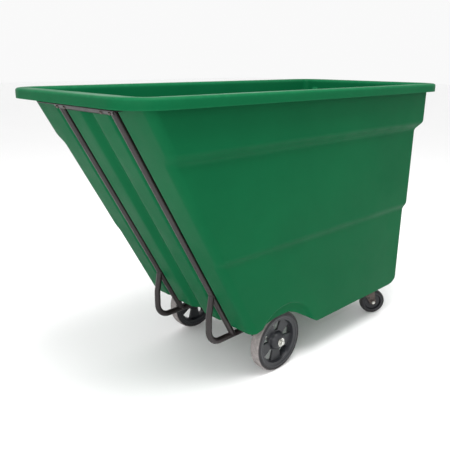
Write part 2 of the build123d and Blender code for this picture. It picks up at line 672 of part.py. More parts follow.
core_r = caster_r - caster_tyre_t
half_tread = caster_tread_w / 2
with BuildPart() as caster_wheel_left:
    with BuildSketch(Plane.YZ.offset(caster_wheel_x)):
        with Locations((caster_y, caster_r)):
            Polygon((-half_tread, core_r), (half_tread, core_r), (half_tread, core_r - 6), (6, core_r - 10),
                    (6, 20), (fork_inner - 2, 16), (fork_inner - 1, sleeve_d / 2 + run_clearance),
                    (1 - fork_inner, sleeve_d / 2 + run_clearance), (2 - fork_inner, 16), (-6, 20),
                    (-6, core_r - 10), (-half_tread, core_r - 6), align=None)
    revolve(axis=Axis((caster_wheel_x, 0, caster_r), (0, 1, 0)))
caster_wheel_left.part = caster_wheel_left.part.moved(swivel)
caster_wheel_left.part.label = "caster_wheel_left"
export_step(caster_wheel_left.part, "parts/caster_wheel_left.step")

with BuildPart() as caster_tyre_left:
    with BuildSketch(Plane.YZ.offset(caster_wheel_x)):
        with Locations((caster_y, caster_r)):
            Polygon((-half_tread, core_r), (half_tread, core_r), (half_tread, caster_r - 5),
                    (half_tread - 4, caster_r), (4 - half_tread, caster_r),
                    (-half_tread, caster_r - 5), align=None)
    revolve(axis=Axis((caster_wheel_x, 0, caster_r), (0, 1, 0)))
caster_tyre_left.part = caster_tyre_left.part.moved(swivel)
caster_tyre_left.part.label = "caster_tyre_left"
export_step(caster_tyre_left.part, "parts/caster_tyre_left.step")

with BuildPart() as caster_sleeve_left:
    with BuildSketch(Plane.XZ.offset(-caster_y)):
        with Locations((caster_wheel_x, caster_r)):
            Circle(sleeve_d / 2)
            Circle(caster_axle_d / 2, mode=Mode.SUBTRACT)
    extrude(amount=fork_inner, both=True)
caster_sleeve_left.part = caster_sleeve_left.part.moved(swivel)
caster_sleeve_left.part.label = "caster_sleeve_left"
export_step(caster_sleeve_left.part, "parts/caster_sleeve_left.step")

fork_outer = fork_inner + fork_t
with BuildPart() as caster_bolt_left:
    with BuildSketch(Plane.XZ.offset(-(caster_y - fork_outer))):
        with Locations((caster_wheel_x, caster_r)):
            Circle(caster_axle_d / 2)
    extrude(amount=-(2 * fork_outer + 11))
    with BuildSketch(Plane.XZ.offset(-(caster_y - fork_outer))):
        with Locations((caster_wheel_x, caster_r)):
            RegularPolygon(9, 6)
    extrude(amount=6)
caster_bolt_left.part = caster_bolt_left.part.moved(swivel)
caster_bolt_left.part.label = "caster_bolt_left"
export_step(caster_bolt_left.part, "parts/caster_bolt_left.step")

with BuildPart() as caster_nut_left:
    with BuildSketch(Plane.XZ.offset(-(caster_y + fork_outer))):
        with Locations((caster_wheel_x, caster_r)):
            RegularPolygon(9, 6)
            Circle(caster_axle_d / 2, mode=Mode.SUBTRACT)
    extrude(amount=-8)
caster_nut_left.part = caster_nut_left.part.moved(swivel)
caster_nut_left.part.label = "caster_nut_left"
export_step(caster_nut_left.part, "parts/caster_nut_left.step")

with BuildPart() as caster_plate_right:
    mirror(caster_plate_left.part, about=Plane.XZ)
caster_plate_right.part.label = "caster_plate_right"
export_step(caster_plate_right.part, "parts/caster_plate_right.step")

with BuildPart() as king_pin_right:
    mirror(king_pin_left.part, about=Plane.XZ)
king_pin_right.part.label = "king_pin_right"
export_step(king_pin_right.part, "parts/king_pin_right.step")

with BuildPart() as caster_balls_right:
    mirror(caster_balls_left.part, about=Plane.XZ)
caster_balls_right.part.label = "caster_balls_right"
export_step(caster_balls_right.part, "parts/caster_balls_right.step")

with BuildPart() as fork_right:
    mirror(fork_left.part, about=Plane.XZ)
fork_right.part.label = "fork_right"
export_step(fork_right.part, "parts/fork_right.step")

with BuildPart() as caster_wheel_right:
    mirror(caster_wheel_left.part, about=Plane.XZ)
caster_wheel_right.part.label = "caster_wheel_right"
export_step(caster_wheel_right.part, "parts/caster_wheel_right.step")

with BuildPart() as caster_tyre_right:
    mirror(caster_tyre_left.part, about=Plane.XZ)
caster_tyre_right.part.label = "caster_tyre_right"
export_step(caster_tyre_right.part, "parts/caster_tyre_right.step")

with BuildPart() as caster_sleeve_right:
    mirror(caster_sleeve_left.part, about=Plane.XZ)
caster_sleeve_right.part.label = "caster_sleeve_right"
export_step(caster_sleeve_right.part, "parts/caster_sleeve_right.step")

with BuildPart() as caster_bolt_right:
    mirror(caster_bolt_left.part, about=Plane.XZ)
caster_bolt_right.part.label = "caster_bolt_right"
export_step(caster_bolt_right.part, "parts/caster_bolt_right.step")

with BuildPart() as caster_nut_right:
    mirror(caster_nut_left.part, about=Plane.XZ)
caster_nut_right.part.label = "caster_nut_right"
export_step(caster_nut_right.part, "parts/caster_nut_right.step")

# ---------------------------------------------------------------- fasteners
with BuildPart() as plate_bolts:
    for x, y in caster_holes:
        with BuildSketch(Plane.XY.offset(plate_top_z)):
            with Locations((x, y)):
                Circle(7.5)
        extrude(amount=4.5)
        with BuildSketch(Plane.XY.offset(plate_top_z)):
            with Locations((x, y)):
                Circle(bolt_d / 2)
        extrude(amount=-(plate_t + caster_plate_t + 6.5))
plate_bolts.part.label = "plate_bolts"
export_step(plate_bolts.part, "parts/plate_bolts.step")

with BuildPart() as plate_nuts:
    for x, y in caster_holes:
        with BuildSketch(Plane.XY.offset(top_plate_z)):
            with Locations((x, y)):
                RegularPolygon(7, 6)
                Circle(bolt_d / 2, mode=Mode.SUBTRACT)
        extrude(amount=-5.5)
plate_nuts.part.label = "plate_nuts"
export_step(plate_nuts.part, "parts/plate_nuts.step")

seat_z = rail_z + tube_r + seat_gap + wall
floor_spots = [(x, y) for x in floor_bolt_xs for y in (-tube_y, tube_y)]
with BuildPart() as floor_washers:
    with BuildSketch(Plane.XY.offset(seat_z)):
        with Locations(*floor_spots):
            Circle(12)
            Circle(bolt_d / 2, mode=Mode.SUBTRACT)
    extrude(amount=1.6)
floor_washers.part.label = "floor_washers"
export_step(floor_washers.part, "parts/floor_washers.step")

with BuildPart() as floor_bolts:
    for x, y in floor_spots:
        with BuildSketch(Plane.XY.offset(seat_z + 1.6)):
            with Locations((x, y)):
                RegularPolygon(7.5, 6)
        extrude(amount=5.3)
        with BuildSketch(Plane.XY.offset(seat_z + 1.6)):
            with Locations((x, y)):
                Circle(bolt_d / 2)
        extrude(amount=-(seat_z + 1.6 - caster_top_z + 8))
floor_bolts.part.label = "floor_bolts"
export_step(floor_bolts.part, "parts/floor_bolts.step")

with BuildPart() as floor_nuts:
    with BuildSketch(Plane.XY.offset(caster_top_z)):
        with Locations(*floor_spots):
            RegularPolygon(7.5, 6)
            Circle(bolt_d / 2, mode=Mode.SUBTRACT)
    extrude(amount=-6.5)
floor_nuts.part.label = "floor_nuts"
export_step(floor_nuts.part, "parts/floor_nuts.step")

bar_skin = bar_back + bar_t                   # outer face of the bar above the chute plane
bar_grip = {bar_bolt_y: wall, tube_y: groove_floor + wall}
with BuildPart() as bar_bolts:
    for y, depth in bar_grip.items():
        for side in (-1, 1):
            with BuildSketch(chute_face.offset(bar_skin)):
                with Locations((side * y, bar_bolt_up)):
                    Circle(bar_head_r)
            extrude(amount=4.5)
            with BuildSketch(chute_face.offset(bar_skin)):
                with Locations((side * y, bar_bolt_up)):
                    Circle(bolt_d / 2)
            extrude(amount=-(bar_skin + depth + 1.6 + 8))
bar_bolts.part.label = "bar_bolts"
export_step(bar_bolts.part, "parts/bar_bolts.step")

with BuildPart() as bar_washers:
    for y, depth in bar_grip.items():
        with BuildSketch(chute_face.offset(-depth)):
            with Locations((y, bar_bolt_up), (-y, bar_bolt_up)):
                Circle(9)
                Circle(bolt_d / 2, mode=Mode.SUBTRACT)
        extrude(amount=-1.6)
bar_washers.part.label = "bar_washers"
export_step(bar_washers.part, "parts/bar_washers.step")

with BuildPart() as bar_nuts:
    for y, depth in bar_grip.items():
        with BuildSketch(chute_face.offset(-depth - 1.6)):
            with Locations((y, bar_bolt_up), (-y, bar_bolt_up)):
                RegularPolygon(7.5, 6)
                Circle(bolt_d / 2, mode=Mode.SUBTRACT)
        extrude(amount=-6.5)
bar_nuts.part.label = "bar_nuts"
export_step(bar_nuts.part, "parts/bar_nuts.step")

with BuildPart() as bar_spacers:
    with BuildSketch(chute_face):
        with Locations((bar_bolt_y, bar_bolt_up), (-bar_bolt_y, bar_bolt_up)):
            Circle(9)
            Circle(bolt_d / 2 + 0.4, mode=Mode.SUBTRACT)
    extrude(amount=bar_back)
bar_spacers.part.label = "bar_spacers"
export_step(bar_spacers.part, "parts/bar_spacers.step")
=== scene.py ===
"""Looks of a tilt truck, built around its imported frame.

Lengths are in metres. +X is forward, +Y is the truck's left, +Z is up and the floor is Z = 0.
"""

import logging
import math
from dataclasses import dataclass
from enum import Enum

import bmesh
import bpy
from mathutils import Matrix, Vector


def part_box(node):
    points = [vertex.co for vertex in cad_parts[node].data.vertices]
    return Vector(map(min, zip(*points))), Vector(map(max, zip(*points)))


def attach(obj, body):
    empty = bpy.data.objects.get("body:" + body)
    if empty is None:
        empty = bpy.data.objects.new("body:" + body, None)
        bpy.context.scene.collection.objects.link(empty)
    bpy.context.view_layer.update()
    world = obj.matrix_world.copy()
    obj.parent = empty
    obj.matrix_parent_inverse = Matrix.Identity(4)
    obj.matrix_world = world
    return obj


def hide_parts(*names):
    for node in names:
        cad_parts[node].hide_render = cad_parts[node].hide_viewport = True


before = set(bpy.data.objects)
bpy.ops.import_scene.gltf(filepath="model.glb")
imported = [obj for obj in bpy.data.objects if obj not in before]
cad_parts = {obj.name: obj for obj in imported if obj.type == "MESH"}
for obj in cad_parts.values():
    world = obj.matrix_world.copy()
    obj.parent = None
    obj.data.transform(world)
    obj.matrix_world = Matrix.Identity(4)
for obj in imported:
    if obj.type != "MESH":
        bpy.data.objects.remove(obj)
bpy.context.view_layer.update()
LOG = logging.getLogger("tilt_truck")
Colour = tuple[float, float, float]
Triple = tuple[float, float, float]


class Side(Enum):
    """One side of the truck, with the sign of its Y."""

    LEFT = 1
    RIGHT = -1

    @property
    def word(self) -> str:
        """Give the side's name as it stands in the node names."""
        return self.name.lower()


# ---------------------------------------------------------------- finishes
class NodeBoard:
    """A material's node tree, with short calls for the nodes that the finishes share."""

    def __init__(self, name: str) -> None:
        """Start an empty principled material.

        Args:
            name: The material's name.
        """
        self.material = bpy.data.materials.new(name)
        self.material.use_nodes = True
        self.tree = self.material.node_tree
        self.shader = self.tree.nodes["Principled BSDF"]
        self.place = self.add("ShaderNodeTexCoord").outputs["Object"]

    def add(self, kind: str, **settings: object) -> bpy.types.Node:
        """Add one node.

        Args:
            kind: The node's type name.
            **settings: Properties to set on it.

        Returns:
            The new node.
        """
        node = self.tree.nodes.new(kind)
        for key, value in settings.items():
            setattr(node, key, value)
        return node

    def link(self, out: bpy.types.NodeSocket, into: bpy.types.NodeSocket) -> None:
        """Join an output to an input."""
        self.tree.links.new(out, into)

    def noise(self, scale: float, detail: float = 4.0, rough: float = 0.55,
              stretch: Triple = (1.0, 1.0, 1.0)) -> bpy.types.NodeSocket:
        """Make a noise field fixed to the piece.

        Args:
            scale: Cells per metre.
            detail: Octaves.
            rough: How much the fine octaves count.
            stretch: Scale along X, Y and Z, for brushed or drawn marks.

        Returns:
            The noise's value, 0 to 1.
        """
        mapping = self.add("ShaderNodeMapping")
        mapping.inputs["Scale"].default_value = stretch
        self.link(self.place, mapping.inputs["Vector"])
        node = self.add("ShaderNodeTexNoise")
        node.inputs["Scale"].default_value = scale
        node.inputs["Detail"].default_value = detail
        node.inputs["Roughness"].default_value = rough
        self.link(mapping.outputs["Vector"], node.inputs["Vector"])
        return node.outputs["Fac"]

    def ramp(self, value: bpy.types.NodeSocket, low: float, high: float,
             start: float = 0.0, end: float = 1.0) -> bpy.types.NodeSocket:
        """Map a value's range to another, held at the ends.

        Args:
            value: The input.
            low: Where the input range starts.
            high: Where it ends.
            start: The result at low.
            end: The result at high.

        Returns:
            The mapped value.
        """
        node = self.add("ShaderNodeMapRange", interpolation_type="SMOOTHSTEP")
        for key, number in (("From Min", low), ("From Max", high), ("To Min", start), ("To Max", end)):
            node.inputs[key].default_value = number
        self.link(value, node.inputs["Value"])
        return node.outputs["Result"]

    def mix(self, factor: bpy.types.NodeSocket, one: "Colour | bpy.types.NodeSocket",
            two: "Colour | bpy.types.NodeSocket") -> bpy.types.NodeSocket:
        """Blend two colours.

        Args:
            factor: 0 gives the first colour and 1 the second.
            one: A colour, or a colour output.
            two: A colour, or a colour output.

        Returns:
            The blended colour.
        """
        node = self.add("ShaderNodeMix", data_type="RGBA")
        self.link(factor, node.inputs[0])
        for source, socket in ((one, node.inputs[6]), (two, node.inputs[7])):
            if isinstance(source, tuple):
                socket.default_value = (*source, 1.0)
            else:
                self.link(source, socket)
        return node.outputs[2]

    def math(self, operation: str, one: bpy.types.NodeSocket,
             two: "float | bpy.types.NodeSocket") -> bpy.types.NodeSocket:
        """Combine two numbers.

        Args:
            operation: The math node's operation.
            one: The first number.
            two: The second number or output.

        Returns:
            The result.
        """
        node = self.add("ShaderNodeMath", operation=operation)
        self.link(one, node.inputs[0])
        if isinstance(two, float):
            node.inputs[1].default_value = two
        else:
            self.link(two, node.inputs[1])
        return node.outputs[0]

    def edge_wear(self, low: float, high: float) -> bpy.types.NodeSocket:
        """Find convex edges.

        Args:
            low: Pointiness where the mask starts.
            high: Pointiness where it is full.

        Returns:
            A mask that is 1 on sharp convex edges.
        """
        return self.ramp(self.add("ShaderNodeNewGeometry").outputs["Pointiness"], low, high)

    def bump(self, height: bpy.types.NodeSocket, strength: float, distance: float) -> None:
        """Raise the surface by a height field, on top of any bump already there.

        Args:
            height: The height field.
            strength: The bump's strength.
            distance: What a height of 1 stands for.
        """
        node = self.add("ShaderNodeBump")
        node.inputs["Strength"].default_value = strength
        node.inputs["Distance"].default_value = distance
        self.link(height, node.inputs["Height"])
        normal = self.shader.inputs["Normal"]
        if normal.is_linked:
            self.link(normal.links[0].from_socket, node.inputs["Normal"])
        self.link(node.outputs["Normal"], normal)

    def base(self, colour: bpy.types.NodeSocket, roughness: bpy.types.NodeSocket) -> None:
        """Join the colour and the roughness to the shader."""
        self.link(colour, self.shader.inputs["Base Color"])
        self.link(roughness, self.shader.inputs["Roughness"])

    def fixed(self, **numbers: float) -> None:
        """Set constants on the shader's own sockets."""
        for key, value in numbers.items():
            self.shader.inputs[key.replace("_", " ")].default_value = value


@dataclass(frozen=True)
class MouldedPlastic:
    """Plastic from a mould: fine grain, faint flow marks, rubbed edges and a few scuffs."""

    name: str
    colour: Colour
    deep: Colour
    rubbed: Colour
    gloss: float
    grain: float = 900.0
    grain_depth: float = 0.00022
    wave: float = 0.0
    scuffs: float = 0.5
    specular: float = 0.4

    def material(self) -> bpy.types.Material:
        """Build the material.

        Returns:
            The finished material.
        """
        board = NodeBoard(self.name)
        cloud = board.ramp(board.noise(2.6, 5.0, 0.6), 0.3, 0.7)
        colour = board.mix(cloud, self.deep, self.colour)
        edge = board.math("MULTIPLY", board.edge_wear(0.502, 0.56),
                          board.ramp(board.noise(38.0, 6.0, 0.7), 0.38, 0.7, 0.25, 0.8))
        colour = board.mix(edge, colour, self.rubbed)
        along = board.ramp(board.noise(5.0, 6.0, 0.72, (1.0, 1.0, 16.0)), 0.63, 0.74)
        across = board.ramp(board.noise(6.0, 6.0, 0.72, (14.0, 12.0, 0.9)), 0.66, 0.76)
        scuff = board.math("MULTIPLY", board.math("MAXIMUM", along, across),
                           board.ramp(board.noise(1.9, 2.0), 0.5, 0.66, 0.0, self.scuffs))
        colour = board.mix(board.math("MULTIPLY", scuff, 0.35), colour, self.rubbed)
        fine = board.noise(self.grain, 3.0, 0.5)
        patch = board.ramp(board.noise(7.0, 5.0, 0.6), 0.3, 0.75, self.gloss - 0.05, self.gloss + 0.07)
        rough = board.math("ADD", patch, board.math("MULTIPLY", scuff, 0.25))
        board.base(colour, rough)
        board.bump(fine, 0.55, self.grain_depth)
        if self.wave:
            board.bump(board.noise(5.5, 2.0, 0.4), 0.35, self.wave)
        board.bump(scuff, 0.2, -0.0002)
        board.fixed(IOR=1.5, Specular_IOR_Level=self.specular)
        return board.material


@dataclass(frozen=True)
class FramePaint:
    """Satin paint over steel tube: light orange peel, thin spots on edges, a little dust."""

    name: str = "frame_paint_finish"
    colour: Colour = (0.013, 0.0085, 0.0090)
    dust: Colour = (0.036, 0.028, 0.027)
    bare: Colour = (0.12, 0.09, 0.08)

    def material(self) -> bpy.types.Material:
        """Build the material.

        Returns:
            The finished material.
        """
        board = NodeBoard(self.name)
        dusty = board.ramp(board.noise(11.0, 6.0, 0.65), 0.45, 0.8, 0.0, 0.5)
        colour = board.mix(dusty, self.colour, self.dust)
        worn = board.math("MULTIPLY", board.edge_wear(0.54, 0.64),
                          board.ramp(board.noise(75.0, 6.0, 0.75), 0.52, 0.68))
        colour = board.mix(worn, colour, self.bare)
        nick = board.ramp(board.noise(140.0, 3.0, 0.6), 0.735, 0.76)
        colour = board.mix(nick, colour, self.bare)
        board.base(colour, board.ramp(board.noise(16.0, 5.0, 0.6), 0.3, 0.75, 0.33, 0.5))
        board.bump(board.noise(420.0, 2.0, 0.5), 0.35, 0.00025)
        board.fixed(IOR=1.42, Coat_Weight=0.12, Coat_Roughness=0.25)
        return board.material


@dataclass(frozen=True)
class TreadRubber:
    """Tread rubber: dark moulded walls, and a paler dusty running face found by its distance from the axle.

    The axle stands at axle_x, axle_y and axle_z, with the wheel's rolling line turned by heading from +X.
    """

    name: str
    wall: Colour
    face: Colour
    axle_x: float
    axle_z: float
    face_from: float
    face_full: float
    axle_y: float = 0.0
    heading: float = 0.0

    def material(self) -> bpy.types.Material:
        """Build the material.

        Returns:
            The finished material.
        """
        board = NodeBoard(self.name)
        split = board.add("ShaderNodeSeparateXYZ")
        board.link(board.place, split.inputs[0])
        along = board.math("SUBTRACT", split.outputs["X"], self.axle_x)
        out = board.math("SUBTRACT", board.math("ABSOLUTE", split.outputs["Y"], 0.0), self.axle_y)
        run = board.math("ADD", board.math("MULTIPLY", along, math.cos(self.heading)),
                         board.math("MULTIPLY", out, math.sin(self.heading)))
        rise = board.math("SUBTRACT", split.outputs["Z"], self.axle_z)
        radius = board.math("POWER", board.math("ADD", board.math("MULTIPLY", run, run),
                                                board.math("MULTIPLY", rise, rise)), 0.5)
        ragged = board.math("ADD", radius, board.math("MULTIPLY", board.noise(90.0, 5.0, 0.7), 0.0016))
        band = board.ramp(ragged, self.face_from, self.face_full)
        blotch = board.ramp(board.noise(60.0, 6.0, 0.7), 0.35, 0.7, 0.65, 1.0)
        colour = board.mix(board.math("MULTIPLY", band, blotch), self.wall, self.face)
        speck = board.ramp(board.noise(240.0, 4.0, 0.7), 0.62, 0.74, 0.0, 0.5)
        colour = board.mix(speck, colour, tuple(0.6 * c for c in self.wall))
        board.base(colour, board.ramp(board.noise(33.0, 5.0, 0.6), 0.3, 0.7, 0.62, 0.82))
        board.bump(board.noise(520.0, 5.0, 0.65), 0.6, 0.0004)
        board.fixed(IOR=1.45)
        return board.material


@dataclass(frozen=True)
class PlatedSteel:
    """Zinc plate: bright, faintly drawn along the part, with dull patches."""

    name: str = "zinc_finish"
    colour: Colour = (0.60, 0.60, 0.57)
    dull: Colour = (0.33, 0.32, 0.29)
    metal: float = 0.95
    rough_low: float = 0.24
    rough_high: float = 0.46

    def material(self) -> bpy.types.Material:
        """Build the material.

        Returns:
            The finished material.
        """
        board = NodeBoard(self.name)
        patch = board.ramp(board.noise(45.0, 6.0, 0.7), 0.42, 0.74)
        colour = board.mix(patch, self.colour, self.dull)
        stain = board.ramp(board.noise(130.0, 5.0, 0.7), 0.64, 0.76, 0.0, 0.5)
        colour = board.mix(stain, colour, (0.16, 0.12, 0.085))
        board.base(colour, board.ramp(patch, 0.0, 1.0, self.rough_low, self.rough_high))
        board.bump(board.noise(260.0, 3.0, 0.6, (1.0, 9.0, 1.0)), 0.25, 0.00012)
        board.fixed(Metallic=self.metal)
        return board.material


# ---------------------------------------------------------------- mesh helpers
def smooth(t: float) -> float:
    """Ease from 0 to 1 as t goes from 0 to 1, held outside."""
    t = min(max(t, 0.0), 1.0)
    return t * t * (3.0 - 2.0 * t)


def new_piece(name: str, builder: bmesh.types.BMesh, finish: bpy.types.Material) -> bpy.types.Object:
    """Turn a bmesh into a smooth-shaded object.

    Args:
        name: The piece's name.
        builder: The mesh, which is freed.
        finish: Its material.

    Returns:
        The new object.
    """
    mesh = bpy.data.meshes.new(name)
    builder.to_mesh(mesh)
    builder.free()
    mesh.materials.append(finish)
    mesh.shade_smooth()
    piece = bpy.data.objects.new(name, mesh)
    bpy.context.scene.collection.objects.link(piece)
    return piece


def lathe(builder: bmesh.types.BMesh, outline: list[tuple[float, float]], place: Matrix,
          steps: int = 48, closed: bool = True) -> None:
    """Turn an outline about local Z into a mesh.

    Args:
        builder: The mesh to add to.
        outline: (radius, height) points.
        place: Where local Z and the origin go.
        steps: Divisions round the axis.
        closed: Whether the outline's end joins its start, as in a ring's section.
    """
    rings: list[list[bmesh.types.BMVert]] = []
    for radius, height in outline:
        if radius < 1e-7:
            rings.append([builder.verts.new(place @ Vector((0.0, 0.0, height)))])
            continue
        rings.append([builder.verts.new(place @ Vector((radius * math.cos(a), radius * math.sin(a), height)))
                      for a in (2.0 * math.pi * k / steps for k in range(steps))])
    pairs = list(zip(rings, rings[1:] + rings[:1] if closed else rings[1:]))
    for low, high in pairs:
        for k in range(steps):
            n = (k + 1) % steps
            corners = [low[k % len(low)], low[n % len(low)], high[n % len(high)], high[k % len(high)]]
            unique = list(dict.fromkeys(corners))
            if len(unique) > 2:
                builder.faces.new(unique)


def rounded_outline(points: list[tuple[float, float, float]], steps: int = 4,
                    closed: bool = True) -> list[tuple[float, float]]:
    """Round the corners of an outline.

    Args:
        points: (x, y, corner radius) for each corner.
        steps: Segments in each rounded corner.
        closed: Whether the outline is a closed loop.

    Returns:
        The rounded outline.
    """
    result: list[tuple[float, float]] = []
    count = len(points)
    for index, (x, y, radius) in enumerate(points):
        here = Vector((x, y))
        if radius <= 0.0 or (not closed and index in (0, count - 1)):
            result.append((x, y))
            continue
        back = Vector(points[index - 1][:2]) - here
        ahead = Vector(points[(index + 1) % count][:2]) - here
        half = back.angle(ahead) / 2.0
        reach = min(radius / math.tan(half), 0.48 * back.length, 0.48 * ahead.length)
        start, end = here + back.normalized() * reach, here + ahead.normalized() * reach
        for k in range(steps + 1):
            t = k / steps
            spot = start.lerp(here, t).lerp(here.lerp(end, t), t)
            result.append((spot.x, spot.y))
    return result


def both_halves(half: list[tuple[float, float, float]]) -> list[tuple[float, float]]:
    """Close a section that is the same on both sides of height 0, with its corners rounded.

    Args:
        half: (radius, height, corner radius) from the inner edge out to the middle, on the positive side.

    Returns:
        The whole rounded outline.
    """
    return rounded_outline(half + [(radius, -height, corner) for radius, height, corner in reversed(half)])


def tube_along(builder: bmesh.types.BMesh, points: list[Vector], radius: float, steps: int = 10) -> None:
    """Add a capped round bar that follows a line of points.

    Args:
        builder: The mesh to add to.
        points: The centre line.
        radius: The bar's radius.
        steps: Divisions round it.
    """
    rings: list[list[bmesh.types.BMVert]] = []
    up = Vector((0.0, 0.0, 1.0))
    for index, point in enumerate(points):
        ahead = points[min(index + 1, len(points) - 1)] - points[max(index - 1, 0)]
        ahead.normalize()
        if abs(ahead.dot(up)) > 0.97:
            up = Vector((1.0, 0.0, 0.0))
        across = ahead.cross(up).normalized()
        up = across.cross(ahead).normalized()
        rings.append([builder.verts.new(point + radius * (math.cos(a) * across + math.sin(a) * up))
                      for a in (2.0 * math.pi * k / steps for k in range(steps))])
    for low, high in zip(rings, rings[1:]):
        for k in range(steps):
            n = (k + 1) % steps
            builder.faces.new((low[k], low[n], high[n], high[k]))
    builder.faces.new(rings[0][::-1])
    builder.faces.new(rings[-1])


def seal(builder: bmesh.types.BMesh) -> None:
    """Make every face look outwards."""
    bmesh.ops.recalc_face_normals(builder, faces=builder.faces[:])


# ---------------------------------------------------------------- tub
@dataclass
class Column:
    """One upright line of the tub's skin, named by where it stands on the plan."""

    kind: str
    sign_x: float
    sign_y: float
    value: float


